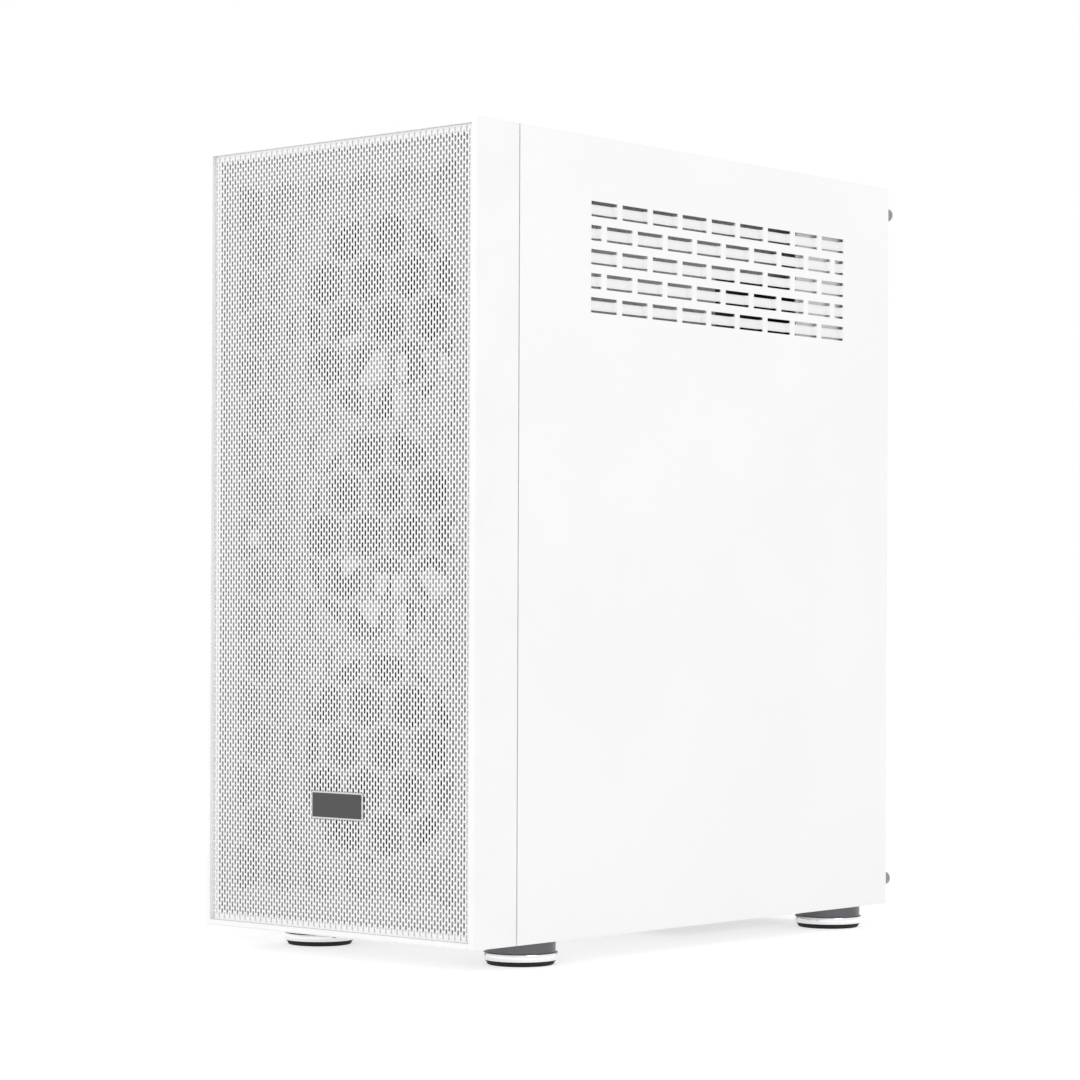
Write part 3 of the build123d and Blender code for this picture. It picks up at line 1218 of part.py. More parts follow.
def make_graphics_bracket():
    """Double-width bracket of the card, with its picture sockets."""
    with BuildPart() as bracket:
        cover_plate(0)
        cover_plate(1)
        height = FIRST_SLOT - SLOT_PITCH / 2
        block((SLOT_LEFT - 4, SLOT_RIGHT + 3), (REAR_IN - 0.9, REAR_IN), (height - 1, height + 1))
        with BuildSketch(facing(REAR_IN)):
            with Locations((SLOT_RIGHT - 14, FIRST_SLOT), (SLOT_RIGHT - 36, FIRST_SLOT),
                           (SLOT_RIGHT - 58, FIRST_SLOT)):
                Rectangle(15, 3.8)
            with Locations(*[(SLOT_RIGHT - 10 - 6 * column, FIRST_SLOT - SLOT_PITCH)
                             for column in range(14)]):
                SlotOverall(9, 2.6, rotation=90)
        extrude(amount=0.9, mode=Mode.SUBTRACT)
    return bracket.part


def make_slot_covers():
    """Blank covers of the slots that hold no card, each pierced with small vents."""
    with BuildPart() as covers:
        for slot in range(2, SLOTS):
            cover_plate(slot)
        with BuildSketch(facing(REAR_IN)):
            for slot in range(2, SLOTS):
                with Locations(*[(SLOT_RIGHT - 10 - 6 * column, FIRST_SLOT - slot * SLOT_PITCH)
                                 for column in range(14)]):
                    SlotOverall(9, 2.6, rotation=90)
        extrude(amount=0.9, mode=Mode.SUBTRACT)
    return covers.part


write(make_graphics_board(), "graphics_board")
write(make_graphics_shroud(), "graphics_shroud")
write(make_graphics_bracket(), "graphics_bracket")
write(make_slot_covers(), "slot_covers")
card_fan_plane = Plane(
    origin=(CARD_FAN_X, y_of(CARD_FAN_D), z_of(CARD_H[0] - CARD_COOLER + 1)),
    x_dir=(1, 0, 0), z_dir=(0, 0, 1),
)
write(make_rotor(card_fan_plane, CARD_FAN_R - 1, 14, 11, 4, 11), "graphics_fan_rotor")
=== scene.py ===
"""Looks of a white desktop computer tower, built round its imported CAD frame.

Every place and size comes from the frame's boxes, in metres. The front looks along -Y, +X is to the
right as seen from the front, and +Z is up.
"""

from __future__ import annotations

import json
import logging
import math
import random
from collections.abc import Sequence
from dataclasses import dataclass
from enum import Enum
from typing import Any

import bmesh
import bpy
from mathutils import Matrix, Vector

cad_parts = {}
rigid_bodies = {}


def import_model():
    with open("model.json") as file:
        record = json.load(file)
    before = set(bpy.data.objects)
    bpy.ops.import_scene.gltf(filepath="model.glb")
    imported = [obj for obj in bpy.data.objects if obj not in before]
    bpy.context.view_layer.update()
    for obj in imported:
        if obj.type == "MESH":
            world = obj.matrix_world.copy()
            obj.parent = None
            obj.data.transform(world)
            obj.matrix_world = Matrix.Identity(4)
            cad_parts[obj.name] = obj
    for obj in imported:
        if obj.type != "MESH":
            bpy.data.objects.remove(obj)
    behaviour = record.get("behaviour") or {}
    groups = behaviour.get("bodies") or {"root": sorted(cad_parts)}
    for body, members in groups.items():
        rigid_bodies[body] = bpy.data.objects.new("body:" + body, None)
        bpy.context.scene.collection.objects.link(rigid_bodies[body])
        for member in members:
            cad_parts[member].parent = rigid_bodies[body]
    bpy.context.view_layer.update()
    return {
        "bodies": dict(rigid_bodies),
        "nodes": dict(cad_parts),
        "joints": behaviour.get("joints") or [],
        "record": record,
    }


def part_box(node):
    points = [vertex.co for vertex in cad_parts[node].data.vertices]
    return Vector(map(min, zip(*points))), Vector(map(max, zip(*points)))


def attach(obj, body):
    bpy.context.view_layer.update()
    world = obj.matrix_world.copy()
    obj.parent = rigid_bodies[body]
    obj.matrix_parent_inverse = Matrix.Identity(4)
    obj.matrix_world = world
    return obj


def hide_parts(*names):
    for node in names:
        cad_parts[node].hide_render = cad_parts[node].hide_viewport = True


LOG = logging.getLogger("tower")
MM = 0.001
MERGE = 1e-6                    # points nearer than this are one
SMOOTH_ANGLE = math.radians(35)
BEVEL_ANGLE = math.radians(40)
Colour = tuple[float, float, float]


# ------------------------------------------------------------------ shader and geometry helpers
class NodeGraph:
    """A node tree whose nodes are added and linked by one short call."""

    prefix = ""
    maths_kind = "ShaderNodeMath"

    def __init__(self, tree: Any) -> None:
        """Hold the tree.

        Args:
            tree: A material's tree or a node group.
        """
        self.tree = tree

    def node(self, kind: str, links: dict[Any, Any] | None = None, **settings: Any) -> bpy.types.Node:
        """Add a node.

        Args:
            kind: The node's type, without the prefix of this kind of tree.
            links: Input name or index to a value or to an output to link.
            **settings: Attributes of the node.

        Returns:
            The new node.
        """
        made = self.tree.nodes.new(f"{self.prefix}{kind}")
        for name, value in settings.items():
            setattr(made, name, value)
        for name, value in (links or {}).items():
            if isinstance(value, bpy.types.NodeSocket):
                self.tree.links.new(value, made.inputs[name])
            else:
                made.inputs[name].default_value = value
        return made

    def maths(self, operation: str, *values: Any) -> Any:
        """Maths node on numbers or outputs; its value output."""
        return self.node(self.maths_kind, dict(enumerate(values)), operation=operation).outputs[0]


class ShaderGraph(NodeGraph):
    """A material's node tree, with short calls for the nodes that the finishes use."""

    prefix = "ShaderNode"
    maths_kind = "Math"

    def __init__(self, name: str) -> None:
        """Start a material with one surface shader.

        Args:
            name: The material's name.
        """
        self.material = bpy.data.materials.new(name)
        self.material.use_nodes = True
        super().__init__(self.material.node_tree)
        self.bsdf = self.tree.nodes["Principled BSDF"]
        self._coords = self.tree.nodes.new("ShaderNodeTexCoord").outputs["Object"]

    def set(self, **values: Any) -> None:
        """Set the surface shader's own sockets; underscores in a name stand for spaces."""
        for name, value in values.items():
            self.bsdf.inputs[name.replace("_", " ")].default_value = value

    def place(self, scale: Sequence[float] = (1, 1, 1), shift: Sequence[float] = (0, 0, 0)) -> Any:
        """Object coordinates, moved and scaled.

        Args:
            scale: Stretch along each axis.
            shift: Move along each axis, in metres, before the stretch.

        Returns:
            The vector output.
        """
        moved = self.node("VectorMath", {0: self._coords, 1: tuple(shift)}, operation="ADD")
        return self.node(
            "VectorMath", {0: moved.outputs[0], 1: tuple(scale)}, operation="MULTIPLY"
        ).outputs[0]

    def noise(self, scale: float, detail: float = 2.0, vector: Any = None) -> Any:
        """Noise between 0 and 1.

        Args:
            scale: Cells per metre.
            detail: Octaves.
            vector: Where to read it; the object's coordinates if None.

        Returns:
            The factor output.
        """
        where = self._coords if vector is None else vector
        return self.node("TexNoise", {"Vector": where, "Scale": scale, "Detail": detail}).outputs[0]

    def ramp(self, factor: Any, stops: Sequence[tuple[float, Colour]]) -> Any:
        """Colour ramp.

        Args:
            factor: What drives it.
            stops: Positions and colours, in order.

        Returns:
            The colour output.
        """
        made = self.node("ValToRGB", {"Fac": factor})
        elements = made.color_ramp.elements
        while len(elements) < len(stops):
            elements.new(0.5)
        for element, (position, colour) in zip(elements, stops):
            element.position = position
            element.color = (*colour, 1.0)
        return made.outputs["Color"]

    def span(self, factor: Any, low: float, high: float) -> Any:
        """Factor from 0..1 to low..high."""
        return self.node("MapRange", {"Value": factor, "To Min": low, "To Max": high}).outputs[0]

    def blend(self, factor: Any, first: Any, second: Any) -> Any:
        """Mix two colours.

        Args:
            factor: Share of the second.
            first: Colour or output.
            second: Colour or output.

        Returns:
            The colour output.
        """
        pair = [value if isinstance(value, bpy.types.NodeSocket) else (*value, 1.0)
                for value in (first, second)]
        links = {0: factor, 6: pair[0], 7: pair[1]}
        return self.node("Mix", links, data_type="RGBA").outputs[2]

    def colour(self, output: Any) -> None:
        """Drive the base colour."""
        self.tree.links.new(output, self.bsdf.inputs["Base Color"])

    def mottle(self, factor: Any, colour: Colour, share: float) -> None:
        """Drive the base colour with a faint mottle.

        Args:
            factor: Where the colour is full (high) and where it is dimmed (low).
            colour: The full colour.
            share: What is left of it where it is dimmed.
        """
        dimmed = tuple(channel * share for channel in colour)
        self.colour(self.ramp(factor, ((0.3, dimmed), (0.7, colour))))

    def roughness(self, output: Any) -> None:
        """Drive the roughness."""
        self.tree.links.new(output, self.bsdf.inputs["Roughness"])

    def bump(self, height: Any, depth: float) -> None:
        """Raise the surface.

        Args:
            height: Height from 0 to 1.
            depth: What a height of 1 stands for, in metres.
        """
        made = self.node("Bump", {"Height": height, "Distance": depth, "Strength": 1.0})
        self.tree.links.new(made.outputs[0], self.bsdf.inputs["Normal"])


class GeometryTree(NodeGraph):
    """A Geometry Nodes tree with named inputs, and the call that turns it into a plain mesh."""

    def __init__(self, name: str) -> None:
        """Start an empty tree.

        Args:
            name: The tree's name.
        """
        super().__init__(bpy.data.node_groups.new(name, "GeometryNodeTree"))
        self.tree.interface.new_socket("Geometry", in_out="INPUT", socket_type="NodeSocketGeometry")
        self.tree.interface.new_socket("Geometry", in_out="OUTPUT", socket_type="NodeSocketGeometry")
        self.entry = self.tree.nodes.new("NodeGroupInput")
        self.exit = self.tree.nodes.new("NodeGroupOutput")
        self.identifiers: dict[str, str] = {}

    def input(self, name: str, kind: str) -> Any:
        """Add a named input.

        Args:
            name: The input's name.
            kind: Float, Int, Object, Material or Vector.

        Returns:
            The output of the entry node that carries it.
        """
        made = self.tree.interface.new_socket(name, in_out="INPUT", socket_type=f"NodeSocket{kind}")
        self.identifiers[name] = made.identifier
        return self.entry.outputs[name]

    def finish(self, geometry: Any, material: Any) -> None:
        """Realize the instances, give them their material and close the tree.

        Args:
            geometry: The geometry output.
            material: The material output.
        """
        real = self.node("GeometryNodeRealizeInstances", {0: geometry})
        merged = self.node("GeometryNodeMergeByDistance", {"Geometry": real.outputs[0], "Distance": MERGE})
        painted = self.node(
            "GeometryNodeSetMaterial", {"Geometry": merged.outputs[0], "Material": material}
        )
        self.tree.links.new(painted.outputs[0], self.exit.inputs[0])

    def build(self, name: str, values: dict[str, Any]) -> bpy.types.Object:
        """Evaluate the tree with its inputs set, as a plain mesh object.

        Args:
            name: The new object's name.
            values: Input name to value.

        Returns:
            The object, at the origin, with no modifier left.
        """
        holder = bpy.data.objects.new(f"{name}_holder", bpy.data.meshes.new(f"{name}_holder"))
        bpy.context.collection.objects.link(holder)
        modifier = holder.modifiers.new(name, "NODES")
        modifier.node_group = self.tree
        for key, value in values.items():
            modifier[self.identifiers[key]] = value
        graph = bpy.context.evaluated_depsgraph_get()
        mesh = bpy.data.meshes.new_from_object(holder.evaluated_get(graph))
        mesh.name = name
        holder.modifiers.remove(modifier)
        bpy.data.objects.remove(holder)
        return Workshop.link(name, mesh)


class Workshop:
    """Ways to make and hand over meshes."""

    @staticmethod
    def link(name: str, mesh: bpy.types.Mesh) -> bpy.types.Object:
        """Put a mesh in the scene as an object of that name, at the origin."""
        made = bpy.data.objects.new(name, mesh)
        bpy.context.collection.objects.link(made)
        return made

    @staticmethod
    def from_raw(name: str, work: bmesh.types.BMesh) -> bpy.types.Object:
        """Close a bmesh into an object as it is; the bmesh is freed."""
        mesh = bpy.data.meshes.new(name)
        work.to_mesh(mesh)
        work.free()
        return Workshop.link(name, mesh)

    @staticmethod
    def from_bmesh(name: str, work: bmesh.types.BMesh) -> bpy.types.Object:
        """Close a bmesh into an object, with doubles merged and normals outwards; it is freed."""
        bmesh.ops.remove_doubles(work, verts=work.verts, dist=MERGE)
        bmesh.ops.recalc_face_normals(work, faces=work.faces)
        return Workshop.from_raw(name, work)

    @staticmethod
    def block(work: bmesh.types.BMesh, low: Sequence[float], high: Sequence[float]) -> None:
        """Add a closed box to a bmesh.

        Args:
            work: The bmesh.
            low: Lowest corner.
            high: Highest corner.
        """
        middle = (Vector(low) + Vector(high)) / 2
        size = Vector(high) - Vector(low)
        place = Matrix.Translation(middle) @ Matrix.Diagonal((*size, 1.0))
        bmesh.ops.create_cube(work, size=1.0, matrix=place)

    @staticmethod
    def wall(work: bmesh.types.BMesh, first: Sequence[Any], second: Sequence[Any]) -> None:
        """Join two loops of as many points with a strip of faces."""
        for index in range(len(first)):
            after = (index + 1) % len(first)
            work.faces.new((first[index], first[after], second[after], second[index]))

    @staticmethod
    def tube(work: bmesh.types.BMesh, rings: Sequence[tuple[float, float]], place: Matrix,
             segments: int = 32) -> None:
        """Add a closed turned shape to a bmesh.

        Args:
            work: The bmesh.
            rings: Radius and height of each ring along the shape's own Z, from end to end.
            place: Where the shape's own frame goes.
            segments: Points round each ring.
        """
        turns = [2 * math.pi * index / segments for index in range(segments)]
        loops = [
            [work.verts.new(place @ Vector((radius * math.cos(turn), radius * math.sin(turn), height)))
             for turn in turns]
            for radius, height in rings
        ]
        for lower, upper in zip(loops, loops[1:]):
            Workshop.wall(work, lower, upper)
        work.faces.new(list(reversed(loops[0])))
        work.faces.new(loops[-1])

    @staticmethod
    def copy_node(frame: dict[str, Any], node: str, name: str) -> bpy.types.Object:
        """Copy a CAD node's mesh with its triangles joined and its flat faces made whole.

        Args:
            node: The CAD node.
            name: The copy's name.

        Returns:
            The copy, at the origin.
        """
        work = bmesh.new()
        work.from_mesh(frame["nodes"][node].data)
        bmesh.ops.remove_doubles(work, verts=work.verts, dist=2e-6)
        bmesh.ops.dissolve_limit(work, angle_limit=math.radians(1.0), verts=work.verts,
                                 edges=work.edges, delimit={"NORMAL"})
        return Workshop.from_raw(name, work)

    @staticmethod
    def soften(target: bpy.types.Object, width: float) -> None:
        """Round the edges of a piece with a live bevel that wide."""
        bevel = target.modifiers.new("soft edges", "BEVEL")
        bevel.width = width
        bevel.segments = 2
        bevel.limit_method = "ANGLE"
        bevel.angle_limit = BEVEL_ANGLE
        bevel.harden_normals = True

    @staticmethod
    def hand_over(piece: bpy.types.Object, body: str, slot: str, finish: bpy.types.Material | None = None,
                  replaces: Sequence[str] = (), smooth: bool = True) -> None:
        """Give a finished piece its material and body, and hide the CAD nodes that it stands for.

        Args:
            piece: The piece.
            body: CAD body that it rides on.
            slot: Not used.
            finish: Its material, if it has none yet.
            replaces: CAD nodes that it stands for.
            smooth: Whether faces are smooth up to a limit angle.
        """
        if finish is not None:
            piece.data.materials.clear()
            piece.data.materials.append(finish)
        if smooth:
            piece.data.shade_smooth()
            piece.data.set_sharp_from_angle(angle=SMOOTH_ANGLE)
        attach(piece, body)
        if replaces:
            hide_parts(*replaces)
        LOG.info("%s: %d faces on %s", piece.name, len(piece.data.polygons), body)


# ------------------------------------------------------------------ finishes
@dataclass(frozen=True)
class PowderCoat:
    """Baked powder paint on sheet steel: faint orange peel over a satin coat."""

    name: str
    colour: Colour
    roughness: float = 0.42
    peel: float = 0.00004
    grain: float = 900.0

    def make(self) -> bpy.types.Material:
        """The material."""
        graph = ShaderGraph(self.name)
        graph.set(Specular_IOR_Level=0.45)
        graph.mottle(graph.noise(9.0, 3.0), self.colour, 0.975)
        graph.roughness(graph.span(graph.noise(220.0, 3.0), self.roughness - 0.05, self.roughness + 0.06))
        graph.bump(graph.noise(self.grain, 2.0), self.peel)
        return graph.material


@dataclass(frozen=True)
class Moulded:
    """Injection-moulded plastic with a spark-eroded grain."""

    name: str
    colour: Colour
    roughness: float = 0.45
    grain: float = 2600.0
    depth: float = 0.00003
    specular: float = 0.5
    through: float = 0.0

    def make(self) -> bpy.types.Material:
        """The material."""
        graph = ShaderGraph(self.name)
        graph.set(Specular_IOR_Level=self.specular, Subsurface_Weight=self.through,
                  Subsurface_Radius=(0.002, 0.002, 0.002))
        graph.mottle(graph.noise(30.0, 4.0), self.colour, 0.965)
        graph.roughness(graph.span(graph.noise(400.0, 2.0), self.roughness - 0.06, self.roughness + 0.06))
        graph.bump(graph.noise(self.grain, 1.0), self.depth)
        return graph.material


@dataclass(frozen=True)
class Metal:
    """Bare or plated metal: polished, brushed along an axis, or blasted."""

    name: str
    colour: Colour
    roughness: float
    brush: tuple[float, float, float] = (1.0, 1.0, 1.0)
    grain: float = 500.0
    depth: float = 0.00001
    smudge: float = 0.04

    def make(self) -> bpy.types.Material:
        """The material."""
        graph = ShaderGraph(self.name)
        graph.set(Metallic=1.0)
        lines = graph.noise(self.grain, 2.0, graph.place(self.brush))
        graph.mottle(lines, self.colour, 0.9)
        graph.roughness(graph.span(graph.noise(60.0, 3.0), self.roughness, self.roughness + self.smudge))
        graph.bump(lines, self.depth)
        return graph.material


@dataclass(frozen=True)
class Pane:
    """Tempered glass with a light grey tint."""

    name: str
    colour: Colour
    roughness: float = 0.02

    def make(self) -> bpy.types.Material:
        """The material."""
        graph = ShaderGraph(self.name)
        graph.set(Transmission_Weight=1.0, IOR=1.46, Roughness=self.roughness,
                  Base_Color=(*self.colour, 1.0), Specular_IOR_Level=0.5)
        return graph.material


@dataclass(frozen=True)
class CircuitBoard:
    """Solder mask over copper runs, with bare pads in rows."""

    name: str
    mask: Colour
    copper: Colour
    pad: Colour
    across: tuple[float, float, float]

    def make(self) -> bpy.types.Material:
        """The material."""
        graph = ShaderGraph(self.name)
        graph.set(Coat_Weight=0.35, Coat_Roughness=0.25)
        place = graph.place(self.across)
        runs = graph.node(
            "TexVoronoi", {"Vector": place, "Scale": 90.0}, feature="DISTANCE_TO_EDGE",
            distance="EUCLIDEAN",
        ).outputs[0]
        track = graph.maths("LESS_THAN", graph.maths("MODULO", graph.maths("MULTIPLY", runs, 9.0), 1.0), 0.42)
        dots = graph.node("TexVoronoi", {"Vector": place, "Scale": 260.0}).outputs["Distance"]
        pads = graph.maths("LESS_THAN", dots, 0.13)
        toned = graph.blend(graph.maths("MULTIPLY", track, 0.8), self.mask, self.copper)
        graph.colour(graph.blend(graph.maths("MULTIPLY", pads, 0.6), toned, self.pad))
        graph.roughness(graph.span(pads, 0.42, 0.25))
        graph.bump(track, 0.00003)
        return graph.material


@dataclass(frozen=True)
class BrightRim:
    """Gloss black plate whose raised rim is bright metal."""

    name: str
    body: Colour
    rim: Colour
    middle: tuple[float, float]
    half: tuple[float, float]
    width: float

    def make(self) -> bpy.types.Material:
        """The material."""
        graph = ShaderGraph(self.name)
        graph.set(Coat_Weight=0.6, Coat_Roughness=0.08)
        apart = graph.node("SeparateXYZ", {0: graph.place(shift=(-self.middle[0], 0, -self.middle[1]))})
        side = graph.maths("GREATER_THAN", graph.maths("ABSOLUTE", apart.outputs[0]),
                           self.half[0] - self.width)
        top = graph.maths("GREATER_THAN", graph.maths("ABSOLUTE", apart.outputs[2]),
                          self.half[1] - self.width)
        edge = graph.maths("MAXIMUM", side, top)
        graph.colour(graph.blend(edge, self.body, self.rim))
        graph.tree.links.new(edge, graph.bsdf.inputs["Metallic"])
        graph.roughness(graph.span(edge, 0.2, 0.25))
        graph.bump(graph.noise(700.0, 1.0), 0.000006)
        return graph.material


@dataclass(frozen=True)
class PlatedFoot:
    """Foot casing: a satin neck above a mirror-bright ring; the neck's near-black grey is painted shade,
    standing for the dark underside of the case that the neck reflects.
    """

    name: str
    neck: Colour
    ring: Colour
    ring_top: float

    def make(self) -> bpy.types.Material:
        """The material."""
        graph = ShaderGraph(self.name)
        graph.set(Metallic=1.0)
        height = graph.node("SeparateXYZ", {0: graph.place()}).outputs[2]
        neck = graph.maths("GREATER_THAN", height, self.ring_top)
        # The neck's dark colour is painted shade: it stands for the dark underside of the case mirrored in
        # the neck.
        graph.colour(graph.blend(neck, self.ring, self.neck))
        turned = graph.noise(300.0, 2.0, graph.place((0.2, 0.2, 8.0)))
        rough = graph.maths("ADD", graph.span(neck, 0.06, 0.3), graph.span(turned, 0.0, 0.05))
        graph.roughness(rough)
        graph.bump(turned, 0.000004)
        return graph.material


@dataclass(frozen=True)
class PrintedRing:
    """White plastic with a printed ring, open at one side, and a short bar across the gap."""

    name: str
    body: Colour
    ink: Colour
    middle: tuple[float, float]
    radius: float
    width: float

    def make(self) -> bpy.types.Material:
        """The material."""
        graph = ShaderGraph(self.name)
        apart = graph.node("SeparateXYZ", {0: graph.place(shift=(-self.middle[0], -self.middle[1], 0))})
        x, y = apart.outputs[0], apart.outputs[1]
        squares = graph.maths("ADD", graph.maths("MULTIPLY", x, x), graph.maths("MULTIPLY", y, y))
        off = graph.maths("ABSOLUTE", graph.maths("SUBTRACT", graph.maths("SQRT", squares), self.radius))
        ring = graph.maths("LESS_THAN", off, self.width / 2)
        gap = graph.maths("MULTIPLY", graph.maths("LESS_THAN", graph.maths("ABSOLUTE", x), self.width * 1.6),
                          graph.maths("GREATER_THAN", y, 0.0))
        open_ring = graph.maths("MULTIPLY", ring, graph.maths("SUBTRACT", 1.0, gap))
        bar = graph.maths("MULTIPLY", graph.maths("LESS_THAN", graph.maths("ABSOLUTE", x), self.width / 2),
                          graph.maths("GREATER_THAN", y, self.radius * 0.25))
        short = graph.maths("MULTIPLY", bar, graph.maths("LESS_THAN", y, self.radius * 1.15))
        graph.colour(graph.blend(graph.maths("MAXIMUM", open_ring, short), self.body, self.ink))
        graph.roughness(graph.span(graph.noise(400.0, 2.0), 0.38, 0.48))
        graph.bump(graph.noise(2600.0, 1.0), 0.00002)
        return graph.material


class Finishes:
    """Every finish of the tower, made once."""

    def __init__(self) -> None:
        """Make the materials."""
        badge_low, badge_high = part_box("badge")
        middle = (badge_low + badge_high) / 2
        half = (badge_high - badge_low) / 2
        cups_low, cups_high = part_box("foot_cups")
        button_low, button_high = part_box("power_button")
        button = (button_low + button_high) / 2
        button_r = (button_high.x - button_low.x) / 2
        white = (0.80, 0.80, 0.80)
        kinds: dict[str, Any] = {
            "coat": PowderCoat("white powder coat", white),
            "coat_inner": PowderCoat("white inner coat", (0.72, 0.72, 0.72), roughness=0.5),
            "coat_mesh": PowderCoat("white perforated sheet", (0.80, 0.80, 0.80), peel=0.00001),
            "dark_coat": PowderCoat("black coat", (0.022, 0.022, 0.024), roughness=0.5, peel=0.00008),
            "plastic": Moulded("white moulded plastic", (0.80, 0.80, 0.80)),
            "grid": Moulded("grey grid plastic", (0.42, 0.42, 0.43), roughness=0.6, specular=0.3),
            "filter_frame": Moulded("white filter plastic", (0.70, 0.70, 0.70), roughness=0.5),
            "fan_frame": Moulded("black fan frame", (0.020, 0.020, 0.022), roughness=0.55, specular=0.3),
            "fan_blade": Moulded("smoked blade", (0.030, 0.030, 0.033), roughness=0.5, specular=0.3),
            "black": Moulded("black plastic", (0.018, 0.018, 0.02), roughness=0.42),
            "gloss_black": Moulded("gloss black plastic", (0.012, 0.012, 0.013), roughness=0.15,
                                   depth=0.000004),
            "rubber": Moulded("foot rubber", (0.016, 0.016, 0.016), roughness=0.8, grain=1400.0,
                              depth=0.0001, specular=0.3),
            "thread": Moulded("filter thread", (0.50, 0.50, 0.51), roughness=0.5, grain=900.0),
            "light": Moulded("light pipe", (0.75, 0.85, 0.95), roughness=0.12, through=0.5),
            "chrome": Metal("bright nickel", (0.78, 0.78, 0.79), 0.08),
            # Thumbscrew heads: the knurl grain is real, and the colour is darkened below nickel's as a
            # painted reflection of dark surroundings.
            "knurled": Metal("knurled nickel", (0.34, 0.34, 0.35), 0.16, brush=(3.0, 0.1, 3.0), grain=700.0,
                             depth=0.00012),
            "zinc": Metal("zinc plate", (0.55, 0.55, 0.56), 0.28, grain=900.0),
            "tin": Metal("tin plated shell", (0.60, 0.60, 0.60), 0.3, brush=(1, 1, 9)),
            "aluminium": Metal("fin aluminium", (0.74, 0.75, 0.76), 0.25, brush=(1, 0.2, 4)),
            "blasted": Metal("blasted aluminium", (0.42, 0.43, 0.45), 0.42, grain=1800.0),
            "drive": Metal("drive casting", (0.38, 0.39, 0.41), 0.38, grain=1300.0, depth=0.00004),
            "copper": Metal("copper", (0.72, 0.38, 0.25), 0.24, brush=(0.2, 3, 3)),
            "brass": Metal("turned brass", (0.66, 0.47, 0.20), 0.3),
            "glass": Pane("smoked glass", (0.42, 0.43, 0.44)),
            "board": CircuitBoard("motherboard mask", (0.012, 0.013, 0.016), (0.03, 0.032, 0.038),
                                  (0.45, 0.42, 0.32), (0.0, 1.0, 1.0)),
            "card": CircuitBoard("card mask", (0.010, 0.012, 0.012), (0.028, 0.03, 0.03),
                                 (0.45, 0.42, 0.32), (1.0, 1.0, 0.0)),
            "badge": BrightRim("badge", (0.012, 0.012, 0.014), (0.62, 0.62, 0.64),
                               (middle.x, middle.z), (half.x, half.z), 0.0009),
            "power_ring": PrintedRing("power button", white, (0.10, 0.10, 0.11), (button.x, button.y),
                                      button_r * 0.45, button_r * 0.10),
            # The foot neck's dark grey is painted shade, standing for the dark underside of the case that the
            # neck reflects.
            "foot": PlatedFoot("plated foot", (0.13, 0.13, 0.14), (0.90, 0.90, 0.91),
                               cups_low.z + (cups_high.z - cups_low.z) * 0.36),
        }
        self.materials = {key: kind.make() for key, kind in kinds.items()}

    def __getitem__(self, key: str) -> bpy.types.Material:
        """The material of that key."""
        return self.materials[key]


class NodeFinish(Enum):
    """Which finish each kept CAD node takes: the finish's key and the nodes that wear it."""

    OUTER_STEEL = ("coat", ("right_panel", "left_frame", "chassis_roof", "chassis_rear_wall"))
    INNER_STEEL = ("coat_inner", ("chassis_floor", "chassis_front_wall", "motherboard_tray",
                                  "psu_shroud", "drive_cage", "slot_covers"))
    BEZEL = ("plastic", ("front_bezel", "reset_button"))
    POWER = ("power_ring", ("power_button",))
    GRID = ("grid", ("honeycomb_grid",))
    SHEET = ("coat_mesh", ("front_mesh", "top_filter", "bottom_filter"))
    BADGE = ("badge", ("badge",))
    PANE = ("glass", ("left_glass",))
    # The thumbscrews wear nickel darkened by a painted dark reflection.
    BRIGHT = ("knurled", ("thumbscrew_right_lower", "thumbscrew_right_upper",
                         "thumbscrew_left_lower", "thumbscrew_left_upper"))
    FOOT = ("foot", ("foot_cups",))
    PAD = ("rubber", ("foot_pads",))
    FRAMES = ("fan_frame", ("front_fan_frames", "rear_fan_frame", "cooler_fan_frame"))
    BLADES = ("fan_blade", ("front_fan_rotor_lower", "front_fan_rotor_middle", "front_fan_rotor_upper",
                            "rear_fan_rotor", "cooler_fan_rotor"))
    FASTENERS = ("zinc", ("case_fasteners", "panel_studs"))
    SHELLS = ("tin", ("front_ports", "io_ports", "io_shield", "processor_socket", "graphics_bracket"))
    BLACK = ("black", ("psu_inlet", "psu_rocker", "psu_fan_rotor", "memory_slots", "expansion_slots",
                       "power_sockets", "graphics_shroud", "graphics_fan_rotor"))
    DARK_STEEL = ("dark_coat", ("psu_housing", "solid_state_drive"))
    BOARDS = ("board", ("motherboard", "control_board"))
    CARD = ("card", ("graphics_board",))
    FINS = ("aluminium", ("cooler_fins",))
    SINKS = ("blasted", ("board_heatsinks", "memory_modules"))
    PIPES = ("copper", ("cooler_base",))
    POSTS = ("brass", ("board_standoffs",))
    DRIVE = ("drive", ("hard_drive",))
    LIGHT = ("light", ("status_light",))


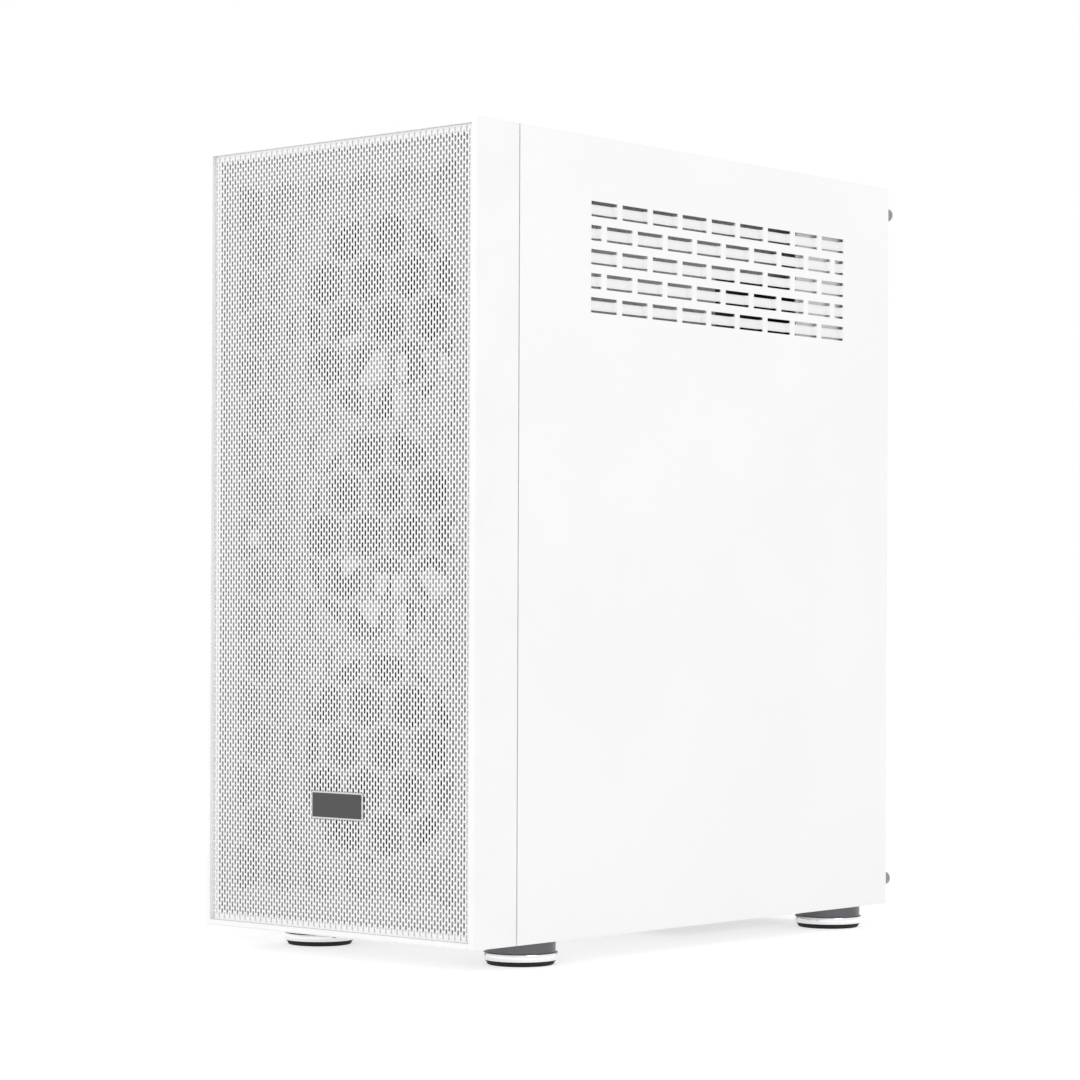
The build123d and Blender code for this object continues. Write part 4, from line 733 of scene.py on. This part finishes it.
# ------------------------------------------------------------------ sub-assemblies
@dataclass
class FrontSheet:
    """Perforated steel sheet of the front: long holes in columns, each column half a row on."""

    column_pitch: float = 2.055 * MM
    row_pitch: float = 4.27 * MM
    hole_w: float = 1.42 * MM
    hole_h: float = 3.34 * MM
    bands: int = 3
    columns: int = 94
    rows: int = 98

    def tile(self, depth: tuple[float, float]) -> bpy.types.Object:
        """One hole with its share of the sheet: front, back and the hole's wall.

        Args:
            depth: Y of the sheet's front and back, from its own middle.

        Returns:
            The tile, which the tree repeats.
        """
        half_a, half_b = self.column_pitch / 2, self.row_pitch / 2
        w, h = self.hole_w / 2, self.hole_h / 2
        cell = [(half_a, half_b), (-half_a, half_b), (-half_a, 0), (-half_a, -half_b),
                (half_a, -half_b), (half_a, 0)]
        hole = [(w * 0.5, h), (-w * 0.5, h), (-w, h * 0.62), (-w, -h * 0.62), (-w * 0.5, -h),
                (w * 0.5, -h), (w, -h * 0.62), (w, h * 0.62)]
        work = bmesh.new()
        layers = []
        for y in depth:
            outer = [work.verts.new((x, y, z)) for x, z in cell]
            inner = [work.verts.new((x, y, z)) for x, z in hole]
            layers.append(inner)
            faces = [
                (outer[0], outer[1], inner[1], inner[0]),
                (outer[1], inner[2], inner[1]),
                (outer[1], outer[2], outer[3], inner[3], inner[2]),
                (outer[3], inner[4], inner[3]),
                (outer[3], outer[4], inner[5], inner[4]),
                (outer[4], inner[6], inner[5]),
                (outer[4], outer[5], outer[0], inner[7], inner[6]),
                (outer[0], inner[0], inner[7]),
            ]
            for face in faces:
                work.faces.new(face if y == depth[0] else tuple(reversed(face)))
        Workshop.wall(work, *layers)
        return Workshop.from_raw("sheet_tile", work)

    def tree(self) -> GeometryTree:
        """The tree that repeats the tile over columns and rows."""
        made = GeometryTree("perforated sheet")
        tile = made.input("Tile", "Object")
        columns, rows = made.input("Columns", "Int"), made.input("Rows", "Int")
        column_pitch, row_pitch = made.input("Column Pitch", "Float"), made.input("Row Pitch", "Float")
        middle = made.input("Middle", "Vector")
        material = made.input("Material", "Material")
        width = made.maths("MULTIPLY", made.maths("SUBTRACT", columns, 1.0), column_pitch)
        height = made.maths("MULTIPLY", made.maths("SUBTRACT", rows, 1.0), row_pitch)
        grid = made.node("GeometryNodeMeshGrid", {"Size X": width, "Size Y": height,
                                                  "Vertices X": columns, "Vertices Y": rows})
        index = made.node("GeometryNodeInputIndex").outputs[0]
        column = made.maths("FLOOR", made.maths("DIVIDE", index, rows))
        odd = made.maths("MODULO", column, 2.0)
        shift = made.maths("MULTIPLY", made.maths("MULTIPLY", odd, row_pitch), 0.5)
        offset = made.node("ShaderNodeCombineXYZ", {1: shift})
        staggered = made.node("GeometryNodeSetPosition", {"Geometry": grid.outputs[0],
                                                          "Offset": offset.outputs[0]})
        upright = made.node("GeometryNodeTransform", {
            "Geometry": staggered.outputs[0], "Translation": middle,
            "Rotation": (math.radians(90), 0.0, 0.0),
        })
        info = made.node("GeometryNodeObjectInfo", {"Object": tile})
        placed = made.node("GeometryNodeInstanceOnPoints", {"Points": upright.outputs[0],
                                                            "Instance": info.outputs["Geometry"]})
        made.finish(placed.outputs[0], material)
        return made

    def border(self, low: Vector, high: Vector, field_low: Vector, field_high: Vector) -> bpy.types.Object:
        """Plain margin round the holes, which steps with the columns above and below.

        Args:
            low: Lowest corner of the sheet.
            high: Highest corner of the sheet.
            field_low: Lowest corner of the even columns' field.
            field_high: Highest corner of the even columns' field.

        Returns:
            The margin, front and back.
        """
        work = bmesh.new()
        half = self.row_pitch / 2

        def quad(x: tuple[float, float], z: tuple[float, float]) -> None:
            """One face of the margin, on the front and on the back."""
            for y, order in ((low.y, 1), (high.y, -1)):
                corners = [(x[0], y, z[0]), (x[1], y, z[0]), (x[1], y, z[1]), (x[0], y, z[1])]
                work.faces.new([work.verts.new(corner) for corner in corners[::order]])

        for column in range(self.columns):
            left = field_low.x + column * self.column_pitch
            lift = half * (column % 2)
            x = (left, left + self.column_pitch)
            quad(x, (low.z, field_low.z + lift))
            quad(x, (field_high.z + lift, high.z))
        for x, lift in (((low.x, field_low.x), 0.0),
                        ((field_high.x, high.x), half * ((self.columns - 1) % 2))):
            steps = [low.z] + [field_low.z + lift + half * step for step in range(2 * self.rows + 1)]
            steps.append(high.z)
            for z in zip(steps, steps[1:]):
                quad(x, z)
        return Workshop.from_bmesh("front_sheet_margin", work)

    def build(self, finishes: Finishes) -> None:
        """Build the sheet in bands, each its own piece, and the margin."""
        low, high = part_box("front_mesh")
        centre = (low + high) / 2
        thick = high.y - low.y
        tile = self.tile((-thick / 2, thick / 2))
        tree = self.tree()
        lift = self.row_pitch / 4
        total = self.rows * self.row_pitch
        field_low = Vector((centre.x - self.columns * self.column_pitch / 2, low.y,
                            centre.z - total / 2 - lift))
        field_high = Vector((centre.x + self.columns * self.column_pitch / 2, high.y,
                             centre.z + total / 2 - lift))
        done = 0
        for band in range(self.bands):
            rows = (self.rows * (band + 1)) // self.bands - done
            middle = field_low.z + (done + rows / 2) * self.row_pitch
            piece = tree.build(f"front_sheet_band_{band + 1}", {
                "Tile": tile, "Columns": self.columns, "Rows": rows,
                "Column Pitch": self.column_pitch, "Row Pitch": self.row_pitch,
                "Middle": (centre.x, centre.y, middle), "Material": finishes["coat_mesh"],
            })
            Workshop.hand_over(piece, "front_panel", "mesh_steel", replaces=["front_mesh"], smooth=False)
            done += rows
        bpy.data.objects.remove(tile)
        margin = self.border(low, high, field_low, field_high)
        Workshop.hand_over(margin, "front_panel", "mesh_steel", finishes["coat_mesh"],
                           replaces=["front_mesh"], smooth=False)


@dataclass
class SoftEdges:
    """Outer shells whose folded and moulded edges are rounded enough to catch the light."""

    widths: tuple[tuple[str, str, str, str, float], ...] = (
        ("front_bezel", "front_panel", "white_plastic", "plastic", 0.35 * MM),
        ("left_frame", "left_side", "white_steel", "coat", 0.15 * MM),
        ("board_heatsinks", "chassis", "heatsink", "blasted", 0.4 * MM),
        ("memory_modules", "chassis", "heatsink", "blasted", 0.3 * MM),
        ("graphics_shroud", "chassis", "black_plastic", "black", 0.5 * MM),
    )

    def build(self, frame: dict[str, Any], finishes: Finishes) -> None:
        """Build a rounded copy of each shell in its node's place.

        Args:
            finishes: The tower's finishes.
        """
        for node, body, slot, finish, width in self.widths:
            piece = Workshop.copy_node(frame, node, f"{node}_soft")
            Workshop.soften(piece, width)
            Workshop.hand_over(piece, body, slot, finishes[finish], [node])


@dataclass
class Feet:
    """Round feet: a satin neck, a bright ring with rolled edges, and a grooved rubber pad."""

    roll: float = 0.7 * MM
    groove: float = 0.5 * MM
    ring_height: float = 4.2 * MM
    neck_step: float = 1.35 * MM
    pad_top_step: float = 1.15 * MM
    pad_tip_step: float = 2.25 * MM
    segments: int = 64

    def find(self, frame: dict[str, Any]) -> tuple[float, list[tuple[float, float]]]:
        """Radius of a foot and the four centres, from the casings.


        Returns:
            The radius, and X and Y of each foot.
        """
        low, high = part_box("foot_cups")
        middle = (low.y + high.y) / 2
        points = [vertex.co for vertex in frame["nodes"]["foot_cups"].data.vertices]
        across = [point.x for point in points if point.y < middle and point.x < 0]
        radius = (max(across) - min(across)) / 2
        return radius, [(x, y) for x in (low.x + radius, high.x - radius)
                        for y in (low.y + radius, high.y - radius)]

    def casing(self, radius: float, floor: float, roof: float) -> list[tuple[float, float]]:
        """Rings of a casing: a seat, a ring with rolled edges, and the neck.

        Args:
            radius: Radius of the ring.
            floor: Height of the ring's underside.
            roof: Height of the neck's top.
        """
        top, neck, roll = floor + self.ring_height, radius - self.neck_step, self.roll
        corner = roll * 0.3
        return [(radius - 3 * MM, floor), (radius - roll, floor), (radius - corner, floor + corner),
                (radius, floor + roll), (radius, top - roll), (radius - corner, top - corner),
                (radius - roll, top), (neck, top + 0.02 * MM), (neck, top + 0.1 * MM), (neck, roof)]

    def pad(self, radius: float, floor: float, roof: float) -> list[tuple[float, float]]:
        """Rings of a pad: a hollow sole, a tapered side and a groove under the casing.

        Args:
            radius: Radius of the casing's ring.
            floor: Height of the sole.
            roof: Height of the pad's top.
        """
        tip, top, tall = radius - self.pad_tip_step, radius - self.pad_top_step, roof - floor
        return [(tip - 4 * MM, floor + 0.6 * MM), (tip - 3.4 * MM, floor), (tip - 0.5 * MM, floor),
                (tip, floor + 0.4 * MM), (top - self.groove, floor + tall * 0.72),
                (top, floor + tall * 0.8), (top, roof)]

    def build(self, frame: dict[str, Any], finishes: Finishes) -> None:
        """Build the casings and the pads.

        Args:
            finishes: The tower's finishes.
        """
        radius, centres = self.find(frame)
        low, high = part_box("foot_cups")
        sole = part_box("foot_pads")[0].z
        for name, rings, slot, finish, node in (
                ("foot_casings", self.casing(radius, low.z, high.z), "chrome", "foot", "foot_cups"),
                ("foot_rubbers", self.pad(radius, sole, low.z), "rubber", "rubber", "foot_pads")):
            work = bmesh.new()
            for x, y in centres:
                Workshop.tube(work, rings, Matrix.Translation((x, y, 0)), self.segments)
            piece = Workshop.from_bmesh(name, work)
            Workshop.hand_over(piece, "chassis", slot, finishes[finish], [node])


@dataclass
class DustFilter:
    """Moulded frame with ribs, and a woven net of fine threads across it."""

    node: str
    body: str
    frame_low: float
    frame_high: float
    border: float = 6.0 * MM
    rib: float = 2.0 * MM
    ribs: int = 2
    pitch: float = 1.15 * MM
    thread: float = 0.32 * MM
    edge: float = 0.25 * MM
    tab: bool = False
    tab_half: float = 15.0 * MM
    tab_depth: float = 2.5 * MM
    grips: int = 5
    grip_rise: float = 0.3 * MM
    grip_proud: float = 0.1 * MM

    def tree(self) -> GeometryTree:
        """The tree that lays one thread beside another."""
        made = GeometryTree("thread rows")
        thread, count = made.input("Thread", "Object"), made.input("Count", "Int")
        start, step = made.input("Start", "Vector"), made.input("Step", "Vector")
        material = made.input("Material", "Material")
        line = made.node("GeometryNodeMeshLine", {"Count": count, "Start Location": start, "Offset": step})
        info = made.node("GeometryNodeObjectInfo", {"Object": thread})
        placed = made.node("GeometryNodeInstanceOnPoints", {"Points": line.outputs[0],
                                                            "Instance": info.outputs["Geometry"]})
        made.finish(placed.outputs[0], material)
        return made

    def build(self, finishes: Finishes) -> None:
        """Build the frame and the net."""
        low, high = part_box(self.node)
        floor, roof = low.z + self.frame_low, low.z + self.frame_high
        work = bmesh.new()
        inner_low = Vector((low.x + self.border, low.y + self.border, floor))
        inner_high = Vector((high.x - self.border, high.y - self.border, roof))
        Workshop.block(work, (low.x, low.y, floor), (inner_low.x, high.y, roof))
        Workshop.block(work, (inner_high.x, low.y, floor), (high.x, high.y, roof))
        Workshop.block(work, (inner_low.x, low.y, floor), (inner_high.x, inner_low.y, roof))
        Workshop.block(work, (inner_low.x, inner_high.y, floor), (inner_high.x, high.y, roof))
        drop = (roof - floor) * 0.2
        for index in range(self.ribs):
            y = inner_low.y + (inner_high.y - inner_low.y) * (index + 1) / (self.ribs + 1)
            Workshop.block(work, (inner_low.x, y - self.rib / 2, floor + drop),
                           (inner_high.x, y + self.rib / 2, roof - drop))
        x = (inner_low.x + inner_high.x) / 2
        Workshop.block(work, (x - self.rib / 2, inner_low.y, floor + drop),
                       (x + self.rib / 2, inner_high.y, roof - drop))
        if self.tab:
            half, grip = self.tab_half, self.tab_half * 0.8
            Workshop.block(work, (-half, high.y - self.tab_depth, low.z), (half, high.y, floor))
            for index in range(self.grips):
                z = low.z + (floor - low.z) * (index + 1) / (self.grips + 2)
                Workshop.block(work, (-grip, high.y - self.grip_proud, z),
                               (grip, high.y, z + self.grip_rise))
        piece = Workshop.from_raw(f"{self.node}_frame", work)
        Workshop.soften(piece, self.edge)
        Workshop.hand_over(piece, self.body, "filter_mesh", finishes["filter_frame"], [self.node])
        middle = (floor + roof) / 2
        tree = self.tree()
        spans = (inner_high.x - inner_low.x, inner_high.y - inner_low.y)
        for along, across, name in ((1, 0, "warp"), (0, 1, "weft")):
            bar = bmesh.new()
            size = [self.thread] * 3
            size[along] = spans[along]
            Workshop.block(bar, [-value / 2 for value in size], [value / 2 for value in size])
            holder = Workshop.from_bmesh(f"{self.node}_{name}_thread", bar)
            count = int(spans[across] / self.pitch)
            start = [inner_low.x + spans[0] / 2, inner_low.y + spans[1] / 2,
                     middle + (self.thread * 0.4 if along else -self.thread * 0.4)]
            start[across] -= (count - 1) * self.pitch / 2
            step = [0.0, 0.0, 0.0]
            step[across] = self.pitch
            net = tree.build(f"{self.node}_{name}", {
                "Thread": holder, "Count": count, "Start": tuple(start), "Step": tuple(step),
                "Material": finishes["thread"],
            })
            bpy.data.objects.remove(holder)
            Workshop.hand_over(net, self.body, "filter_mesh", replaces=[self.node], smooth=False)


class Repeats:
    """One small thing set on many points, all facing one way, each turned by a seeded angle."""

    def __init__(self) -> None:
        """Make the tree once; every set of pieces shares it."""
        made = GeometryTree("facing repeats")
        points, thing = made.input("Points", "Object"), made.input("Thing", "Object")
        facing, seed = made.input("Facing", "Vector"), made.input("Seed", "Int")
        spin_most = made.input("Spin", "Float")
        material = made.input("Material", "Material")
        where = made.node("GeometryNodeObjectInfo", {"Object": points})
        what = made.node("GeometryNodeObjectInfo", {"Object": thing})
        spin = made.node("FunctionNodeRandomValue", {"Seed": seed}, data_type="FLOAT")
        share = next(out for out in spin.outputs if out.enabled and out.type == "VALUE")
        angle = made.maths("MULTIPLY", share, spin_most)
        turn = made.node("FunctionNodeAlignRotationToVector", {"Vector": facing}, axis="Z")
        about = made.node("FunctionNodeAxisAngleToRotation", {"Axis": (0.0, 0.0, 1.0), "Angle": angle})
        both = made.node("FunctionNodeRotateRotation", {0: turn.outputs[0], 1: about.outputs[0]},
                         rotation_space="LOCAL")
        placed = made.node("GeometryNodeInstanceOnPoints", {
            "Points": where.outputs["Geometry"], "Instance": what.outputs["Geometry"],
            "Rotation": both.outputs[0],
        })
        made.finish(placed.outputs[0], material)
        self.tree = made

    def build(self, name: str, thing: bpy.types.Object, places: Sequence[Vector], facing: Vector,
              material: bpy.types.Material, seed: int = 1, spin: float = 0.0) -> bpy.types.Object:
        """Set the thing on every place.

        Args:
            name: The piece's name.
            thing: What repeats, with its seat at its origin and its top along +Z.
            places: Where each one sits.
            facing: Which way their tops look.
            material: What they wear.
            seed: Seed of the turns.
            spin: The largest turn, in radians.

        Returns:
            The joined piece.
        """
        mesh = bpy.data.meshes.new(f"{name}_points")
        mesh.from_pydata([tuple(place) for place in places], [], [])
        holder = Workshop.link(f"{name}_points", mesh)
        piece = self.tree.build(name, {"Points": holder, "Thing": thing, "Facing": tuple(facing),
                                       "Seed": seed, "Spin": spin, "Material": material})
        bpy.data.objects.remove(holder)
        return piece


@dataclass
class ScrewHeads:
    """Pan-head screws with a cross recess, on the power supply and the motherboard."""

    radius: float = 2.9 * MM
    height: float = 1.1 * MM
    supply_inset: float = 3.0 * MM
    board_edge: float = 8.0 * MM
    board_rows: tuple[float, float] = (80.0 * MM, 90.0 * MM)

    def head(self) -> bpy.types.Object:
        """One screw head whose seat is at the origin and whose top looks along +Z."""
        work = bmesh.new()
        r, h = self.radius, self.height
        Workshop.tube(work, [(r, 0), (r, h * 0.45), (r * 0.86, h * 0.8), (r * 0.6, h),
                             (r * 0.52, h)], Matrix.Identity(4), 16)
        arm, wide = r * 0.5, r * 0.14
        cross = [(wide, arm), (-wide, arm), (-wide, wide), (-arm, wide), (-arm, -wide), (-wide, -wide),
                 (-wide, -arm), (wide, -arm), (wide, -wide), (arm, -wide), (arm, wide), (wide, wide)]
        loops = [[work.verts.new((x * share, y * share, z)) for x, y in cross]
                 for z, share in ((h * 1.002, 1.0), (h * 0.4, 0.8))]
        Workshop.wall(work, *loops)
        work.faces.new(loops[1])
        return Workshop.from_raw("screw_head", work)

    def build(self, repeats: Repeats, finishes: Finishes) -> None:
        """Build both sets of screws.

        Args:
            repeats: The shared tree.
            finishes: The tower's finishes.
        """
        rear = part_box("chassis_rear_wall")[1].y
        low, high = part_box("psu_housing")
        supply = [Vector((x, rear, z)) for x in (low.x + self.supply_inset, high.x - self.supply_inset)
                  for z in (low.z + self.supply_inset, high.z - self.supply_inset)]
        low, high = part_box("motherboard")
        edge, (row_y, row_z) = self.board_edge, self.board_rows
        board = [Vector((low.x, y, z)) for y in (high.y - edge, low.y + row_y, low.y + edge)
                 for z in (high.z - edge, low.z + row_z, low.z + edge)]
        head = self.head()
        for seed, (name, places, facing) in enumerate((
                ("supply_screws", supply, Vector((0, 1, 0))),
                ("board_screws", board, Vector((-1, 0, 0)))), start=11):
            piece = repeats.build(name, head, places, facing, finishes["zinc"], seed, math.pi)
            Workshop.hand_over(piece, "chassis", "screw_steel")
        bpy.data.objects.remove(head)


@dataclass(frozen=True)
class BoardKind:
    """One kind of small part on the motherboard."""

    name: str
    slot: str
    finish: str
    along: float
    up: float
    tall: float
    count: int
    can: bool = False

    def make(self) -> bpy.types.Object:
        """One such part, with its seat at its origin and its top along +Z."""
        work = bmesh.new()
        if self.can:
            r, h = self.along / 2, self.tall
            Workshop.tube(work, [(r, 0), (r, h * 0.08), (r * 0.93, h * 0.14), (r, h * 0.2),
                                 (r, h * 0.95), (r * 0.94, h), (r * 0.8, h), (r * 0.78, h * 0.98),
                                 (0.02 * r, h * 0.98)], Matrix.Identity(4), 20)
        else:
            Workshop.block(work, (-self.up / 2, -self.along / 2, 0), (self.up / 2, self.along / 2, self.tall))
        piece = Workshop.from_bmesh(self.name, work)
        if not self.can:
            Workshop.soften(piece, min(self.along, self.up, self.tall) * 0.12)
            piece.data = bpy.data.meshes.new_from_object(
                piece.evaluated_get(bpy.context.evaluated_depsgraph_get()))
            piece.modifiers.clear()
        return piece


@dataclass
class BoardParts:
    """Capacitors, chokes, chips and pin headers, set by a seeded draw where the board is free."""

    seed: int = 7
    clear: float = 1.0 * MM
    edge: float = 5.0 * MM
    tries: int = 4000
    kinds: tuple[BoardKind, ...] = (
        BoardKind("board_chips", "black_plastic", "gloss_black", 11 * MM, 11 * MM, 1.4 * MM, 5),
        BoardKind("board_chokes", "heatsink", "blasted", 8 * MM, 8 * MM, 5 * MM, 12),
        BoardKind("board_headers", "black_plastic", "black", 14 * MM, 5 * MM, 6 * MM, 7),
        BoardKind("board_capacitors", "aluminium", "aluminium", 6.3 * MM, 6.3 * MM, 8 * MM, 16, can=True),
        BoardKind("board_packages", "black_plastic", "gloss_black", 5 * MM, 4 * MM, 1.1 * MM, 26),
        BoardKind("board_chip_resistors", "connector_steel", "tin", 2 * MM, 1.2 * MM, 0.7 * MM, 170),
    )

    def taken(self, face: float) -> list[tuple[Vector, Vector]]:
        """Boxes of the pieces that already stand on the board.

        Args:
            face: X of the board's component face.
        """
        names = ("io_ports", "board_heatsinks", "memory_slots", "memory_modules", "expansion_slots",
                 "power_sockets", "processor_socket", "solid_state_drive", "cooler_base",
                 "graphics_board", "cooler_fins")
        tallest = max(kind.tall for kind in self.kinds)
        boxes = [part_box(name) for name in names]
        return [(low, high) for low, high in boxes if high.x > face - tallest - self.clear]

    def build(self, repeats: Repeats, finishes: Finishes) -> None:
        """Draw the places, largest parts first, and build each kind.

        Args:
            repeats: The shared tree.
            finishes: The tower's finishes.
        """
        draw = random.Random(self.seed)
        low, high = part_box("motherboard")
        taken = self.taken(low.x)
        for kind in self.kinds:
            places: list[Vector] = []
            for _ in range(self.tries):
                if len(places) == kind.count:
                    break
                half_y, half_z = kind.along / 2 + self.clear, kind.up / 2 + self.clear
                y = draw.uniform(low.y + self.edge + half_y, high.y - self.edge - half_y)
                z = draw.uniform(low.z + self.edge + half_z, high.z - self.edge - half_z)
                if any(box_low.y < y + half_y and y - half_y < box_high.y
                       and box_low.z < z + half_z and z - half_z < box_high.z
                       for box_low, box_high in taken):
                    continue
                places.append(Vector((low.x, y, z)))
                taken.append((Vector((0, y - half_y, z - half_z)), Vector((0, y + half_y, z + half_z))))
            if not places:
                LOG.info("no room for %s", kind.name)
                continue
            thing = kind.make()
            piece = repeats.build(kind.name, thing, places, Vector((-1, 0, 0)), finishes[kind.finish])
            Workshop.hand_over(piece, "chassis", kind.slot)
            bpy.data.objects.remove(thing)


@dataclass
class Studio:
    """Floor, soft lights and the camera."""

    camera_place: tuple[float, float, float] = (1.1933, -1.3902, 0.1877)
    camera_right: tuple[float, float, float] = (0.75337, 0.65758, 0.00402)
    camera_down: tuple[float, float, float] = (0.00270, 0.00302, -0.99999)
    lens: float = 105.77
    shift_y: float = 0.0643
    floor_size: float = 40.0
    floor_glow: float = 0.6
    aim: tuple[float, float, float] = (0.0, 0.0, 0.25)
    lights: tuple[tuple[str, tuple[float, float, float], float, float], ...] = (
        ("key", (2.4, -0.6, 2.2), 1.8, 16.0),
        ("front", (-0.8, -2.6, 1.6), 2.0, 17.0),
    )

    def camera(self) -> None:
        """Place the camera."""
        data = bpy.data.cameras.new("camera")
        data.lens = self.lens
        data.sensor_width = 36.0
        data.shift_y = self.shift_y
        data.clip_end = 50.0
        camera = bpy.data.objects.new("camera", data)
        right = Vector(self.camera_right).normalized()
        up = -Vector(self.camera_down)
        back = right.cross(up).normalized()
        up = back.cross(right)
        turn = Matrix((right, up, back)).transposed().to_4x4()
        camera.matrix_world = Matrix.Translation(self.camera_place) @ turn
        bpy.context.collection.objects.link(camera)
        bpy.context.scene.camera = camera

    def light(self, name: str, place: Sequence[float], size: float, power: float) -> None:
        """Add a square soft light that looks at the tower.

        Args:
            name: The light's name.
            place: Where it stands.
            size: Its side, in metres.
            power: Its power, in watts.
        """
        data = bpy.data.lights.new(name, "AREA")
        data.size = size
        data.energy = power
        made = bpy.data.objects.new(name, data)
        made.location = place
        look = Vector(self.aim) - Vector(place)
        made.rotation_euler = look.to_track_quat("-Z", "Y").to_euler()
        bpy.context.collection.objects.link(made)

    def build(self) -> None:
        """Build the floor, the world, the lights and the camera."""
        work = bmesh.new()
        bmesh.ops.create_grid(work, x_segments=1, y_segments=1, size=self.floor_size / 2)
        floor_piece = Workshop.from_bmesh("floor", work)
        graph = ShaderGraph("pale floor")
        graph.set(Specular_IOR_Level=0.1, Emission_Color=(1.0, 1.0, 1.0, 1.0),
                  Emission_Strength=self.floor_glow)
        graph.colour(graph.ramp(graph.noise(1.5, 2.0), ((0.3, (0.46,) * 3), (0.7, (0.48,) * 3))))
        graph.roughness(graph.span(graph.noise(8.0, 2.0), 0.8, 0.9))
        floor_piece.data.materials.append(graph.material)
        world = bpy.data.worlds.new("studio")
        world.use_nodes = True
        world.node_tree.nodes["Background"].inputs["Color"].default_value = (1.0, 1.0, 1.0, 1.0)
        world.node_tree.nodes["Background"].inputs["Strength"].default_value = 1.0
        bpy.context.scene.world = world
        bpy.context.scene.view_settings.view_transform = "Standard"
        for light in self.lights:
            self.light(*light)
        self.camera()


def dress_nodes(frame: dict[str, Any], finishes: Finishes) -> None:
    """Give every kept CAD node its material.

    Args:
        finishes: The tower's finishes.
    """
    for entry in NodeFinish:
        key, nodes = entry.value
        for node in nodes:
            data = frame["nodes"][node].data
            data.materials.clear()
            data.materials.append(finishes[key])


def main() -> None:
    """Build the tower's looks and the studio round it."""
    logging.basicConfig(level=logging.INFO, format="%(message)s")
    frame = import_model()
    finishes = Finishes()
    dress_nodes(frame, finishes)
    FrontSheet().build(finishes)
    SoftEdges().build(frame, finishes)
    Feet().build(frame, finishes)
    DustFilter("top_filter", "top_filter", 0.0, 1.6 * MM).build(finishes)
    DustFilter("bottom_filter", "bottom_filter", 3.5 * MM, 5.7 * MM, ribs=1, tab=True).build(finishes)
    repeats = Repeats()
    ScrewHeads().build(repeats, finishes)
    BoardParts().build(repeats, finishes)
    Studio().build()


if __name__ == "__main__":
    main()
